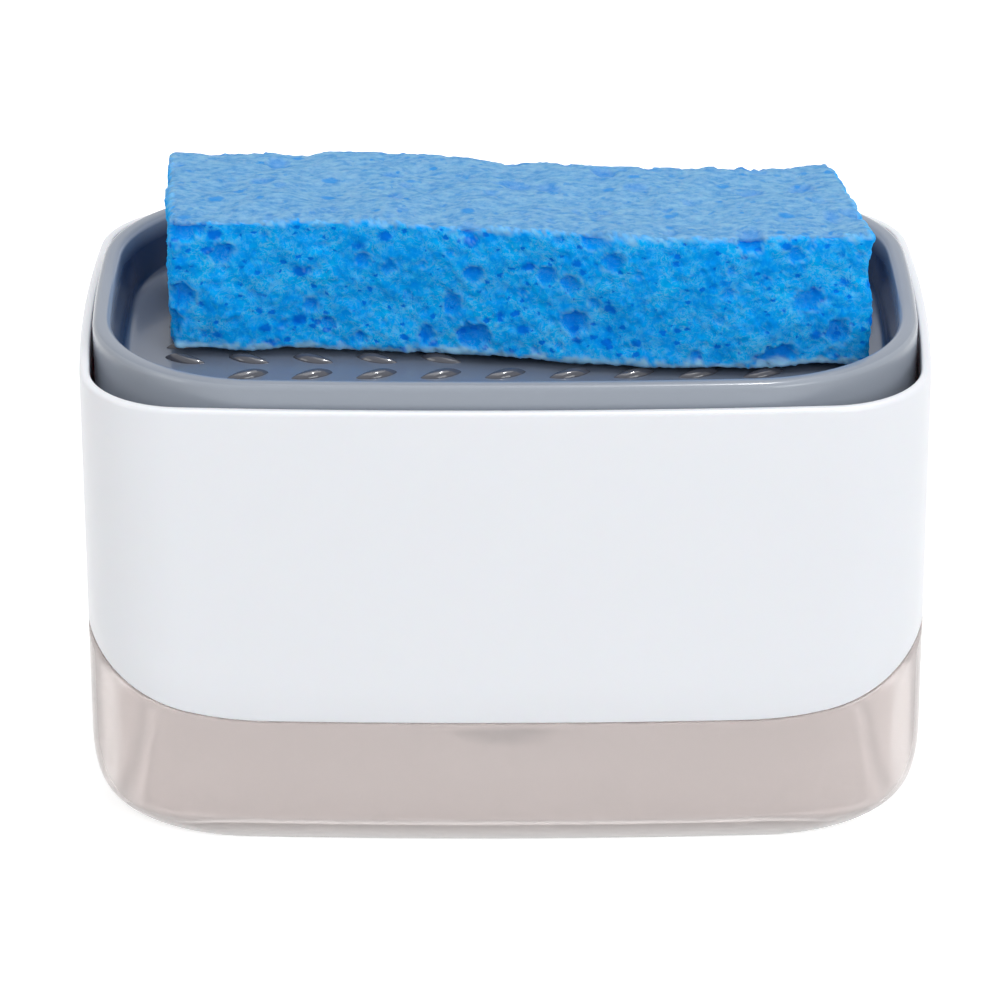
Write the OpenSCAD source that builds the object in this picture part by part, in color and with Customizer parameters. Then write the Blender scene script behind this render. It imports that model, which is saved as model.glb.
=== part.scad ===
// Soap pump caddy: a clear soap tank in a white sleeve, with a tray on top that carries a sponge.
// Pressing the tray drives a pump in the middle, and soap comes up through the tray under the sponge.
// Origin: middle of the base, on the surface it stands on. +X is to the right, -Y the front, +Z up.

/* [Body] */
// Width of the body, end to end
body_w = 135; // [125:1:160]
// Depth of the body, front to back
body_d = 87; // [80:1:110]
// Height of the sleeve's top edge
body_h = 76; // [74:1:100]
// Radius of the body's upright corners
corner_r = 17; // [14:0.5:22]
// Swell of the body's sides between the corners
side_crown = 2.7; // [0.5:0.1:4]
// Width of the rounding of the tank's bottom edge
base_w = 4; // [3:0.5:6]
// Height of that rounding
base_h = 14; // [6:0.5:16]
// Growth of the corner radius over the rounding, as a share of its width
base_spread = 2; // [-0.5:0.1:2.5]

/* [Sleeve] */
// Wall of the white sleeve
sleeve_wall = 1.6; // [1.2:0.1:2.6]
// Rounding of the sleeve's top edge, outside
sleeve_lip_r = 0.8; // [0.4:0.1:1.2]
// Height of the sleeve's lower edge along the middle
edge_low = 22.6; // [12:0.2:26]
// Rise of the lower edge from the middle to the ends
edge_rise = 15.8; // [4:0.2:18]
// Length of the level middle of the lower edge
edge_flat = 76; // [40:1:90]
// Width of the ledge inside the sleeve, which the pump deck stands on
ledge_w = 3; // [2.6:0.1:4]
// Thickness of that ledge
ledge_t = 1.8; // [1.2:0.1:3]

/* [Tank] */
// Wall of the tank where the sleeve covers it
tank_wall = 2.2; // [1.6:0.1:3]
// Thickness of the tank's floor
tank_floor = 1.8; // [1.4:0.1:3]
// Rounding between the tank's floor and walls, inside
tank_fillet = 3; // [1:0.5:5]
// Height of the moulded ring that the tank stands on
foot_h = 0.7; // [0.4:0.1:1.2]
// Width of that ring
foot_w = 4; // [2:0.5:8]

/* [Tray] */
// Height of the tray's rim above the sleeve at rest
rim_rise = 3.6; // [3:0.2:6]
// Radius of the tray's upright corners
tray_r = 28; // [24:0.5:32]
// Width of the tray's rim
rim_w = 3; // [2.4:0.2:4]
// Rounding of the rim's outer edge
rim_r = 1.2; // [0.6:0.1:1.6]
// Depth of the sponge well
well_h = 9.5; // [7:0.5:12]
// Slope of the well's wall, as a width
well_draft = 1; // [0.5:0.1:2]
// Rounding between the well's wall and floor
well_fillet = 2; // [1:0.2:3]
// Thickness of the tray's floor
tray_floor = 2; // [1.6:0.1:2.6]
// Height of the skirt under the tray's floor
skirt_h = 2.5; // [2:0.1:4]
// Wall of that skirt
skirt_wall = 2.4; // [1.6:0.1:3]
// Length of a raised leaf
leaf_l = 6.6; // [5:0.1:9]
// Width of a raised leaf
leaf_w = 2.6; // [1.6:0.1:3.4]
// Height of a raised leaf
leaf_h = 1; // [0.6:0.1:1.4]
// Spacing of the leaves along a row
leaf_pitch_x = 10.2; // [9.5:0.1:13]
// Spacing of the rows
leaf_pitch_y = 6.1; // [5.5:0.1:9]
// Slant of the leaves, which turns the other way in each second row
leaf_slant = 20; // [0:1:35]

/* [Pump] */
// Travel of the tray when it is pressed
stroke = 4; // [2:0.5:6]
// Bore of the pump barrel, as a radius
barrel_bore_r = 8; // [7:0.5:10]
// Wall of the pump barrel
barrel_wall = 1.6; // [1.2:0.1:2.4]
// Radius of the foot at the barrel's lower end
inlet_r = 12.1; // [11.5:0.1:16]
// Outside radius of the pump stem
stem_r = 3.6; // [3.2:0.1:4.2]
// Bore of the pump stem, as a radius
stem_bore_r = 1.2; // [0.8:0.1:1.3]
// Depth of the well in the deck that the barrel hangs in
deck_well_h = 8.4; // [7:0.2:12]
// Thickness of the deck
deck_t = 2.4; // [1.8:0.1:3]
// Radius of the inlet valve's ball
inlet_ball_r = 3; // [2.6:0.1:3.4]
// Travel of the inlet valve's ball
inlet_ball_travel = 1.5; // [1:0.1:2]
// Radius of the outlet valve's ball
outlet_ball_r = 2; // [1.9:0.1:2.2]
// Travel of the outlet valve's ball
outlet_ball_travel = 1; // [0.6:0.1:1.2]
// Wire of the return spring, as a diameter
spring_wire = 0.9; // [0.7:0.05:1]
// Number of curls in the return spring
spring_curls = 8; // [6:1:9]
// Length of the return spring at rest
spring_l = 17; // [15:0.5:20]

/* [Sponge] */
// Free length at each end of the sponge, on the well's floor
sponge_space = 5.5; // [5:0.1:16]
// Depth of the sponge, front to back
sponge_d = 30; // [24:0.5:33]
// Height of the sponge
sponge_h = 21; // [15:0.5:30]
// Turn of the sponge in the tray
sponge_turn = -3.2; // [-4:0.1:4]
// Distance of the sponge's middle to the right of the tray's middle
sponge_x = 1.6; // [-3:0.1:3]
// Distance of the sponge's middle behind the tray's middle
sponge_y = 5.4; // [0:0.1:7]
// Rounding of the sponge's upright corners
sponge_r = 1.8; // [0.5:0.1:4]

/* [Hidden] */
$fn = 72;
// Steps along half an end, round a corner and along half the front of the body's outline
end_steps = 3;
corner_steps = 8;
front_steps = 4;
// Cutting tools run past the faces they cut by this much
overrun = 1;
// Gap between pieces that are fixed together but moulded apart
fit_gap = 0.2;
// Gap between pieces that rest on one another and can be lifted apart
seat_gap = 0.3;
// Gap round pieces that slide past one another without touching
slide_gap = 0.4;
// Gap round the tray where it moves in the sleeve
tray_gap = 0.45;
// Radial gap of a running fit
run_gap = 0.05;

// Sleeve and ledge, counted down from the tray
tray_inset = sleeve_wall + tray_gap;
tray_top = body_h + rim_rise;
well_floor_z = tray_top - well_h;
tray_under_z = well_floor_z - tray_floor;
skirt_z = tray_under_z - skirt_h;
deck_top = skirt_z - stroke - tray_gap;
deck_gasket_t = 1.2;
deck_inset = sleeve_wall + slide_gap;
ledge_top = deck_top - deck_t - deck_gasket_t - seat_gap;
ledge_z = ledge_top - ledge_t;
tank_top = ledge_z - fit_gap;
tank_inset = sleeve_wall + fit_gap;
cavity_inset = tank_inset + tank_wall;
foot_corner_r = corner_r + base_spread * base_w;
tank_floor_z = foot_h + tank_floor;
edge_gap = 0.25;
// The sweep of the sleeve's lower edge runs a little past the end, so that it rounds over there
edge_steps = 16;
edge_past = 0.5;
edge_sweep = (body_w - edge_flat) / 2 + edge_past;

// Pump deck, barrel and foot
barrel_r = barrel_bore_r + barrel_wall;
deck_well_w = 6.4;
deck_well_r = barrel_r + deck_well_w;
deck_well_wall = 2.4;
well_deck_z = deck_top - deck_well_h;
deck_under_z = well_deck_z - deck_t;
barrel_flange_w = 3.6;
barrel_flange_r = barrel_r + barrel_flange_w;
barrel_flange_t = 2;
barrel_gasket_t = 1;
barrel_flange_z = well_deck_z + barrel_gasket_t;
barrel_top = barrel_flange_z + barrel_flange_t;
nut_h = 4;
nut_wall = 4.2;
nut_r = barrel_r + nut_wall;
nut_notches = 10;
nut_notch_r = 1.1;
cap_brim = 0.9;
cap_r = barrel_r + cap_brim;
cap_t = 1.2;
cap_plug_h = 4;
cap_top = barrel_top + cap_t;
wiper_t = 1.5;
inlet_foot_z = tank_floor_z + seat_gap;
inlet_flange_t = 1.8;
inlet_socket_wall = 1.6;
inlet_socket_h = 5;
inlet_hole_r = 2.2;
inlet_slot_w = 3.2;
inlet_slot_h = 1;
inlet_slots = 4;
barrel_z = inlet_foot_z + inlet_flange_t;

// Inlet valve: a ball on a seat of 45 degrees, held down by a cage
seat_t = 3;
seat_cone_h = 1.6;
seat_hole_r = 2;
seat_cone_z = barrel_z + seat_t - seat_cone_h;
ball_play = 0.1;
inlet_ball_z = seat_cone_z + inlet_ball_r * sqrt(2) - seat_hole_r + ball_play * sqrt(2);
cage_z = barrel_z + seat_t;
cage_base_t = 1.3;
cage_play = 0.5;
cage_r = inlet_ball_r + cage_play;
cage_wall = 1.5;
cage_window_w = 2.4;
cage_hole_r = 1.5;
cage_cover_t = 1.2;
cage_under_z = inlet_ball_z + inlet_ball_r + inlet_ball_travel + seat_gap;
cage_top = cage_under_z + cage_cover_t;

// Spring, piston and stem
spring_z = cage_z + cage_base_t;
spring_inset = 1.7;
spring_r = barrel_bore_r - spring_inset;
spring_rings = 8;
spring_sides = 6;
piston_z = spring_z + spring_l;
piston_l = 6;
piston_r = barrel_bore_r - slide_gap;
seal_l = 3;
seal_z = piston_z + (piston_l - seal_l) / 2;
seal_groove = 1.6;
piston_end_t = 1;
stem_z = piston_z + piston_end_t;
hub_r = 9;
hub_z = cap_top + stroke + slide_gap;
hub_socket_h = 4;
stem_top = hub_z + hub_socket_h;
outlet_cone_h = 1;
outlet_cone_z = stem_top - outlet_cone_h;
outlet_ball_z = outlet_cone_z + outlet_ball_r * sqrt(2) - stem_bore_r + ball_play * sqrt(2);
chamber_play = 0.6;
chamber_r = outlet_ball_r + chamber_play;
chamber_top = outlet_ball_z + outlet_ball_r + outlet_ball_travel + ball_play;

// Nozzle that carries the soap through the tray
nozzle_plug_r = 4.9;
hub_shoulder_h = 1;
nozzle_plug_z = stem_top + hub_shoulder_h;
nozzle_head_r = 6.5;
nozzle_sunk = 0.1;
nozzle_head_t = leaf_h - nozzle_sunk;
nozzle_hole_r = 0.9;
nozzle_clear_r = 10;
nozzle_seal_t = 0.6;
nozzle_seal_wall = 1.5;

// Tray ribs and leaves
rib_t = 1.6;
rib_short = 0.5;
rib_h = skirt_h - rib_short;
rib_angles = [0, 45, 90, 135];
leaf_sink = 0.2;
leaf_margin = 8.1;
leaf_clear = 4.5;
leaf_cols = floor(body_w / 2 / leaf_pitch_x);
leaf_rows = floor(body_d / 2 / leaf_pitch_y);
leaf_arc_r = (leaf_l * leaf_l / 4 + leaf_w * leaf_w / 4) / leaf_w;
floor_inset = rim_w + well_draft + well_fillet;
sponge_w = body_w - 2 * (tray_inset + rim_w + well_draft + sponge_space);
sponge_z = well_floor_z + leaf_h + seat_gap;

// Shapes that several pieces share

// Outline of the body and of everything that follows it, drawn inward by an inset. Front, back and
// ends are long arcs that swell by side_crown, and corners of radius r run smoothly into them.
front_r = (body_w * body_w / 4 + side_crown * side_crown) / (2 * side_crown);
end_r = (body_d * body_d / 4 + side_crown * side_crown) / (2 * side_crown);
front_y = body_d / 2 - front_r;
end_x = body_w / 2 - end_r;

function corner_centre(r, inset) =
    let (a = front_r - inset - r, b = end_r - inset - r, d = norm([end_x, front_y]),
        k = (a * a - b * b + d * d) / (2 * d), h = sqrt(a * a - k * k))
    [0, front_y] + k / d * [end_x, -front_y] + h / d * [-front_y, -end_x];

function arc_points(centre, r, from, to, steps) =
    [for (i = [0:steps - 1]) let (t = from + (to - from) * i / steps) centre + r * [cos(t), sin(t)]];

function outline_points(r, inset) =
    let (c = corner_centre(r, inset), low = atan2(c[1], c[0] - end_x),
        high = atan2(c[1] - front_y, c[0]),
        q = concat(arc_points([end_x, 0], end_r - inset, 0, low, end_steps),
            arc_points(c, r, low, high, corner_steps),
            arc_points([0, front_y], front_r - inset, high, 90, front_steps)),
        n = len(q) - 1, y = body_d / 2 - inset)
    concat(q, [[0, y]], [for (i = [n:-1:0]) [-q[i][0], q[i][1]]],
        [for (i = [1:n]) -q[i]], [[0, -y]], [for (i = [n:-1:1]) [q[i][0], -q[i][1]]]);

module body_outline(inset) polygon(outline_points(max(corner_r - inset, overrun), inset));
module tray_outline(inset) polygon(outline_points(tray_r - inset, tray_inset + inset));

// Upright ring of the body's outline between two insets
module body_ring(outer, inner, z, h) {
    translate([0, 0, z]) linear_extrude(h) difference() {
        body_outline(outer);
        body_outline(inner);
    }
}

module tube(r, bore, z, h) {
    translate([0, 0, z]) difference() {
        cylinder(r = r, h = h);
        translate([0, 0, -overrun]) cylinder(r = bore, h = h + 2 * overrun);
    }
}

// Everything under the sleeve's lower edge. Seen from the front the edge is level in the middle and
// sweeps up to the ends as an ellipse. The swell of the ends carries it on there as an arch.
module below_edge(drop) {
    right = [for (i = [0:edge_steps]) let (t = 90 * i / edge_steps)
        [edge_flat / 2 + edge_sweep * sin(t), edge_low - drop + edge_rise * (1 - cos(t))]];
    side = body_w / 2 + overrun;
    translate([0, body_d / 2 + overrun, 0]) rotate([90, 0, 0])
        linear_extrude(body_d + 2 * overrun)
            polygon(concat([[-side, -overrun], [side, -overrun], [side, right[edge_steps][1]]],
                [for (i = [edge_steps:-1:0]) right[i]], [for (p = right) [-p[0], p[1]]],
                [[-side, right[edge_steps][1]]]));
}

// Upright block that follows the outline, with corners of radius r at a first inset. Each ring is
// [further inset, height], from the lowest to the highest, and the block runs straight between them.
// Corners shrink by the inset and so keep their centre, unless spread gives another share of it.
module ringed_block(r, first, rings, spread = -1) {
    loops = [for (g = rings) outline_points(r + spread * g[0], first + g[0])];
    n = len(loops[0]);
    last = len(rings) - 1;
    polyhedron(
        [for (j = [0:last], p = loops[j]) [p[0], p[1], rings[j][1]]],
        concat([[for (i = [0:n - 1]) i]], [[for (i = [n - 1:-1:0]) last * n + i]],
            [for (j = [0:last - 1], i = [0:n - 1]) let (k = (i + 1) % n)
                [j * n + i, (j + 1) * n + i, (j + 1) * n + k, j * n + k]]));
}

// Rings of a rounded bottom edge that ends at an inset, and of a rounded top edge that starts there
function bottom_rings(inset, edge_w, edge_h, z) =
    [for (a = [0:22.5:90]) [inset + edge_w * (1 - sin(a)), z + edge_h * (1 - cos(a))]];
function top_rings(inset, edge_r, z) =
    [for (a = [0:30:90]) [inset + edge_r * (1 - cos(a)), z - edge_r * (1 - sin(a))]];

// Tank

// Open tank: flush with the sleeve below the sleeve's edge, stepped in behind it above
module soap_tank() {
    color([0.80, 0.78, 0.77, 0.55]) difference() {
        union() {
            intersection() {
                ringed_block(corner_r, 0, concat(bottom_rings(0, base_w, base_h, 0), [[0, tank_top]]),
                    base_spread);
                below_edge(edge_gap);
            }
            translate([0, 0, base_h]) linear_extrude(tank_top - base_h) body_outline(tank_inset);
        }
        ringed_block(corner_r, 0,
            concat(bottom_rings(cavity_inset, tank_fillet, tank_fillet, tank_floor_z),
                [[cavity_inset, tank_top + overrun]]));
        translate([0, 0, -overrun]) linear_extrude(foot_h + overrun)
            polygon(outline_points(foot_corner_r - foot_w, base_w + foot_w));
    }
}

// Sleeve

module outer_sleeve() {
    color([0.91, 0.92, 0.94]) {
        difference() {
            ringed_block(corner_r, 0, concat([[0, 0]], top_rings(0, sleeve_lip_r, body_h)));
            translate([0, 0, -overrun])
                linear_extrude(body_h + 2 * overrun) body_outline(sleeve_wall);
            below_edge(0);
        }
        body_ring(sleeve_wall - fit_gap, sleeve_wall + ledge_w, ledge_z, ledge_t);
    }
}

// Pump deck

// Plate that closes the tank, with a well in the middle for the barrel
module deck_plate() {
    color([0.86, 0.87, 0.89]) difference() {
        union() {
            translate([0, 0, deck_top - deck_t]) linear_extrude(deck_t) body_outline(deck_inset);
            translate([0, 0, deck_under_z])
                cylinder(r = deck_well_r + deck_well_wall, h = deck_top - deck_under_z);
        }
        translate([0, 0, well_deck_z]) cylinder(r = deck_well_r, h = deck_well_h + overrun);
        translate([0, 0, deck_under_z - overrun])
            cylinder(r = barrel_r + fit_gap, h = deck_t + 2 * overrun);
    }
}

module deck_gasket() {
    color([0.35, 0.37, 0.40])
        body_ring(deck_inset, sleeve_wall + ledge_w, deck_top - deck_t - deck_gasket_t, deck_gasket_t);
}

module pump_barrel() {
    color([0.88, 0.89, 0.90]) difference() {
        union() {
            translate([0, 0, barrel_z]) cylinder(r = barrel_r, h = barrel_top - barrel_z);
            translate([0, 0, barrel_flange_z]) cylinder(r = barrel_flange_r, h = barrel_flange_t);
        }
        translate([0, 0, barrel_z - overrun])
            cylinder(r = barrel_bore_r, h = barrel_top - barrel_z + 2 * overrun);
    }
}

module barrel_gasket() {
    color([0.30, 0.31, 0.33])
        tube(barrel_flange_r, barrel_r + fit_gap, well_deck_z, barrel_gasket_t);
}

// Nut that clamps the barrel to the deck from below, with grip notches
module barrel_nut() {
    color([0.70, 0.72, 0.75]) difference() {
        tube(nut_r, barrel_r + run_gap, deck_under_z - nut_h, nut_h);
        for (i = [0:nut_notches - 1])
            rotate([0, 0, 360 * i / nut_notches])
                translate([nut_r, 0, deck_under_z - nut_h - overrun])
                    cylinder(r = nut_notch_r, h = nut_h + 2 * overrun);
    }
}

// Cap that closes the barrel and guides the stem
module guide_cap() {
    color([0.62, 0.65, 0.70]) difference() {
        union() {
            translate([0, 0, barrel_top]) cylinder(r = cap_r, h = cap_t);
            translate([0, 0, barrel_top - cap_plug_h])
                cylinder(r = barrel_bore_r - run_gap, h = cap_plug_h);
        }
        translate([0, 0, barrel_top - cap_plug_h - overrun])
            cylinder(r = stem_r + run_gap, h = cap_plug_h + cap_t + 2 * overrun);
    }
}

module stem_wiper() {
    color([0.25, 0.26, 0.28])
        tube(barrel_bore_r - run_gap, stem_r + run_gap, barrel_top - cap_plug_h - wiper_t, wiper_t);
}

// Inlet valve

// Foot of the barrel, with slots underneath that let the soap in
module inlet_foot() {
    socket_bore = barrel_r + run_gap;
    color([0.84, 0.85, 0.86]) difference() {
        union() {
            translate([0, 0, inlet_foot_z]) cylinder(r = inlet_r, h = inlet_flange_t);
            tube(socket_bore + inlet_socket_wall, socket_bore, barrel_z, inlet_socket_h);
        }
        translate([0, 0, inlet_foot_z - overrun])
            cylinder(r = inlet_hole_r, h = inlet_flange_t + 2 * overrun);
        for (i = [0:inlet_slots / 2 - 1])
            rotate([0, 0, 45 + 360 * i / inlet_slots])
                translate([-inlet_r - overrun, -inlet_slot_w / 2, inlet_foot_z - overrun])
                    cube([2 * (inlet_r + overrun), inlet_slot_w, inlet_slot_h + overrun]);
    }
}

module inlet_seat() {
    color([0.80, 0.81, 0.83]) difference() {
        translate([0, 0, barrel_z]) cylinder(r = barrel_bore_r - run_gap, h = seat_t);
        translate([0, 0, barrel_z - overrun]) cylinder(r = seat_hole_r, h = seat_t + overrun);
        translate([0, 0, seat_cone_z])
            cylinder(r1 = seat_hole_r, r2 = seat_hole_r + seat_cone_h + overrun,
                h = seat_cone_h + overrun);
    }
}

module inlet_ball() {
    color([0.75, 0.76, 0.78]) translate([0, 0, inlet_ball_z]) sphere(inlet_ball_r);
}

// Cage that keeps the ball over its seat, with windows that the soap leaves by
module ball_cage() {
    window_z = cage_z + cage_base_t;
    color([0.78, 0.80, 0.82]) difference() {
        union() {
            translate([0, 0, cage_z]) cylinder(r = barrel_bore_r - run_gap, h = cage_base_t);
            translate([0, 0, cage_z]) cylinder(r = cage_r + cage_wall, h = cage_top - cage_z);
        }
        translate([0, 0, cage_z - overrun]) cylinder(r = cage_r, h = cage_under_z - cage_z + overrun);
        translate([0, 0, cage_z]) cylinder(r = cage_hole_r, h = cage_top - cage_z + overrun);
        for (a = [0, 90])
            rotate([0, 0, a])
                translate([-cage_r - cage_wall - overrun, -cage_window_w / 2, window_z])
                    cube([2 * (cage_r + cage_wall + overrun), cage_window_w, cage_under_z - window_z]);
    }
}

// Return spring: one unbroken tube, flat at both ends

function spring_point(i) =
    let (n = spring_rings * spring_curls, a = 360 * i / spring_rings,
        rise = spring_l - spring_wire - 2 * run_gap)
    [spring_r * cos(a), spring_r * sin(a), spring_z + run_gap + spring_wire / 2 + rise * i / n];

// Ring of wire round a point of the coil: outward and up are the ring's two directions
function spring_ring(i) =
    let (p = spring_point(i), a = 360 * i / spring_rings)
    [for (k = [0:spring_sides - 1]) let (t = 360 * k / spring_sides)
        p + spring_wire / 2 * [cos(a) * cos(t), sin(a) * cos(t), sin(t)]];

module return_spring() {
    n = spring_rings * spring_curls;
    s = spring_sides;
    points = [for (i = [0:n], p = spring_ring(i)) p];
    sides = [for (i = [0:n - 1], k = [0:s - 1]) let (l = (k + 1) % s)
        each [[i * s + k, i * s + l, (i + 1) * s + l], [i * s + k, (i + 1) * s + l, (i + 1) * s + k]]];
    start_cap = [for (k = [1:s - 2]) [0, k + 1, k]];
    end_cap = [for (k = [1:s - 2]) [n * s, n * s + k, n * s + k + 1]];
    color([0.72, 0.73, 0.75]) polyhedron(points, concat(sides, start_cap, end_cap));
}

least_gap = min([for (i = [0:spring_rings * spring_curls - spring_rings])
    for (j = [i + spring_rings / 2:spring_rings * spring_curls])
        norm(spring_point(i) - spring_point(j)) - spring_wire]);
echo(str("return_spring: least gap to itself ", least_gap, " mm"));

// Piston and stem

module piston() {
    color([0.83, 0.84, 0.86]) difference() {
        translate([0, 0, piston_z]) cylinder(r = piston_r, h = piston_l);
        translate([0, 0, piston_z - overrun]) cylinder(r = stem_bore_r, h = piston_l);
        translate([0, 0, stem_z]) cylinder(r = stem_r + run_gap, h = piston_l);
        tube(barrel_bore_r, piston_r - seal_groove, seal_z, seal_l);
    }
}

module piston_seal() {
    color([0.28, 0.29, 0.31])
        tube(barrel_bore_r - run_gap, piston_r - seal_groove + run_gap, seal_z + run_gap,
            seal_l - 2 * run_gap);
}

// Hollow stem, with the outlet ball's seat at its top
module pump_stem() {
    color([0.85, 0.86, 0.88]) difference() {
        translate([0, 0, stem_z + run_gap]) cylinder(r = stem_r, h = stem_top - stem_z - run_gap);
        translate([0, 0, stem_z - overrun])
            cylinder(r = stem_bore_r, h = stem_top - stem_z + 2 * overrun);
        translate([0, 0, outlet_cone_z])
            cylinder(r1 = stem_bore_r, r2 = stem_bore_r + outlet_cone_h + overrun,
                h = outlet_cone_h + overrun);
    }
}

module outlet_ball() {
    color([0.75, 0.76, 0.78]) translate([0, 0, outlet_ball_z]) sphere(outlet_ball_r);
}

// Head that joins the stem to the tray and takes the nozzle's plug
module pump_head() {
    color([0.58, 0.61, 0.66]) difference() {
        translate([0, 0, hub_z]) cylinder(r = hub_r, h = tray_under_z - hub_z);
        translate([0, 0, hub_z - overrun])
            cylinder(r = stem_r + run_gap, h = stem_top - hub_z + overrun + run_gap);
        translate([0, 0, stem_top]) cylinder(r = chamber_r, h = nozzle_plug_z - stem_top + overrun);
        translate([0, 0, nozzle_plug_z])
            cylinder(r = nozzle_plug_r + run_gap, h = tray_under_z - nozzle_plug_z + overrun);
    }
}

// Tray

// True where a leaf at this place lies on the level floor, clear of the nozzle
function leaf_fits(x, y) =
    let (c = corner_centre(tray_r, tray_inset), reach = tray_r - floor_inset - leaf_margin,
        cx = abs(x) - c[0], cy = abs(y) - c[1], half_d = body_d / 2 - tray_inset - floor_inset)
    cx <= reach && abs(y) <= half_d - leaf_clear && norm([x, y]) > nozzle_clear_r
        && (cx <= 0 || cy <= 0 || norm([cx, cy]) <= reach);

// One raised leaf: where two circles overlap
module leaf() {
    intersection() {
        translate([0, leaf_arc_r - leaf_w / 2]) circle(leaf_arc_r);
        translate([0, leaf_w / 2 - leaf_arc_r]) circle(leaf_arc_r);
    }
}

module leaves() {
    translate([0, 0, well_floor_z - leaf_sink]) linear_extrude(leaf_h + leaf_sink)
        for (j = [-leaf_rows:leaf_rows], i = [-leaf_cols:leaf_cols]) {
            x = i * leaf_pitch_x;
            y = (j + 1 / 2) * leaf_pitch_y;
            if (leaf_fits(x, y))
                translate([x, y]) rotate(j % 2 == 0 ? -leaf_slant : leaf_slant) leaf();
        }
}

module tray_shell() {
    difference() {
        ringed_block(tray_r, tray_inset, concat([[0, skirt_z]], top_rings(0, rim_r, tray_top)));
        ringed_block(tray_r, tray_inset,
            concat(bottom_rings(rim_w + well_draft, well_fillet, well_fillet, well_floor_z),
                [[rim_w, tray_top], [rim_w, tray_top + overrun]]));
        translate([0, 0, skirt_z - overrun])
            linear_extrude(skirt_h + overrun) tray_outline(skirt_wall);
    }
}

// Stiffening ribs under the tray, from the head out to the skirt
module tray_ribs() {
    reach = norm([body_w, body_d]) / 2;
    translate([0, 0, tray_under_z - rib_h]) linear_extrude(rib_h + leaf_sink)
        difference() {
            intersection() {
                for (a = rib_angles) rotate(a) square([2 * reach, rib_t], center = true);
                tray_outline(skirt_wall / 2);
            }
            circle(hub_r + slide_gap);
        }
}

module press_tray() {
    color([0.55, 0.58, 0.64]) difference() {
        union() {
            tray_shell();
            tray_ribs();
            leaves();
        }
        translate([0, 0, tray_under_z - overrun])
            cylinder(r = nozzle_plug_r + run_gap, h = tray_floor + 2 * overrun);
        translate([0, 0, well_floor_z - nozzle_seal_t])
            cylinder(r = nozzle_head_r + fit_gap, h = nozzle_seal_t + overrun);
    }
}

module outlet_nozzle() {
    color([0.50, 0.53, 0.58]) difference() {
        union() {
            translate([0, 0, nozzle_plug_z])
                cylinder(r = nozzle_plug_r, h = well_floor_z - nozzle_plug_z + nozzle_head_t);
            translate([0, 0, well_floor_z]) cylinder(r = nozzle_head_r, h = nozzle_head_t);
        }
        translate([0, 0, nozzle_plug_z - overrun])
            cylinder(r = chamber_r, h = chamber_top - nozzle_plug_z + overrun);
        translate([0, 0, chamber_top - overrun]) cylinder(r = nozzle_hole_r, h = body_h);
    }
}

module nozzle_seal() {
    color([0.28, 0.29, 0.31])
        tube(nozzle_plug_r + run_gap + nozzle_seal_wall, nozzle_plug_r + run_gap,
            well_floor_z - nozzle_seal_t, nozzle_seal_t);
}

// Sponge, as it lies on the leaves

module sponge() {
    color([0.10, 0.55, 0.86]) translate([sponge_x, sponge_y, sponge_z]) rotate([0, 0, sponge_turn])
        linear_extrude(sponge_h) {
            square([sponge_w, sponge_d - 2 * sponge_r], center = true);
            square([sponge_w - 2 * sponge_r, sponge_d], center = true);
            for (x = [-1, 1], y = [-1, 1])
                translate([x * (sponge_w / 2 - sponge_r), y * (sponge_d / 2 - sponge_r)])
                    circle(sponge_r);
        }
}

soap_tank();
outer_sleeve();
deck_plate();
deck_gasket();
pump_barrel();
barrel_gasket();
barrel_nut();
guide_cap();
stem_wiper();
inlet_foot();
inlet_seat();
inlet_ball();
ball_cage();
return_spring();
piston();
piston_seal();
pump_stem();
outlet_ball();
pump_head();
press_tray();
outlet_nozzle();
nozzle_seal();
sponge();
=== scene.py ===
import math

import bpy
import numpy as np
from mathutils import Matrix, Vector


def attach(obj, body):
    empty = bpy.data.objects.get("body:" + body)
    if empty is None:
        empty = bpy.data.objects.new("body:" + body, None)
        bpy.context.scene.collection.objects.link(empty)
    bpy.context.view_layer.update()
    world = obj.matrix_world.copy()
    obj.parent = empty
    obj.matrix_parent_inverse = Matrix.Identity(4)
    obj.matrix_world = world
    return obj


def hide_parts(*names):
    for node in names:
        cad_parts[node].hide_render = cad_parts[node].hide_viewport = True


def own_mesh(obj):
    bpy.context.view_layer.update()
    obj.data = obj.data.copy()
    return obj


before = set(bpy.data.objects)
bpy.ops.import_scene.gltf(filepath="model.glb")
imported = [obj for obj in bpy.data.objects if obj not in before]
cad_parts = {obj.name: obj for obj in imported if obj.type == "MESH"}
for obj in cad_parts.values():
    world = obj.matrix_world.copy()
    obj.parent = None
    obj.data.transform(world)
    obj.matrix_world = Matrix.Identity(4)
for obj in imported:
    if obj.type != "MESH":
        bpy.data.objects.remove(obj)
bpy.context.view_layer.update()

MM = 0.001

# Soap tank: the clear moulded box that holds the liquid soap, one shot of clear styrene.
# Below the white sleeve its wall stands out flush with the sleeve; above, it steps in behind it.
BODY_W, BODY_D, BODY_CORNER, CROWN = 135.0, 87.0, 17.0, 2.7
END_STEPS, CORNER_STEPS, FRONT_STEPS = 10, 18, 14
EDGE_LOW, EDGE_RISE, EDGE_FLAT, EDGE_PAST, EDGE_GAP = 22.6, 15.8, 76.0, 0.5, 0.25
TANK_TOP, TANK_FLOOR, TANK_INSET, TANK_CAVITY, TANK_LEVEL = 55.25, 2.5, 1.8, 4.0, 47.0
BASE_W, BASE_H, BASE_SPREAD, TANK_FILLET, FOOT_H, FOOT_W = 4.0, 14.0, 2.0, 3.0, 0.7, 4.0
FOOT_ROWS, BASE_STEPS = 4, 16
# Where the foot's painted light fades out, and how much light goes straight through wall and foot.
PAINTED_LIGHT_TOP, PAINTED_LIGHT_FADE, THROUGH_WALL, THROUGH_FOOT = 4.0, 3.0, 0.66, 0.2


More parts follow.
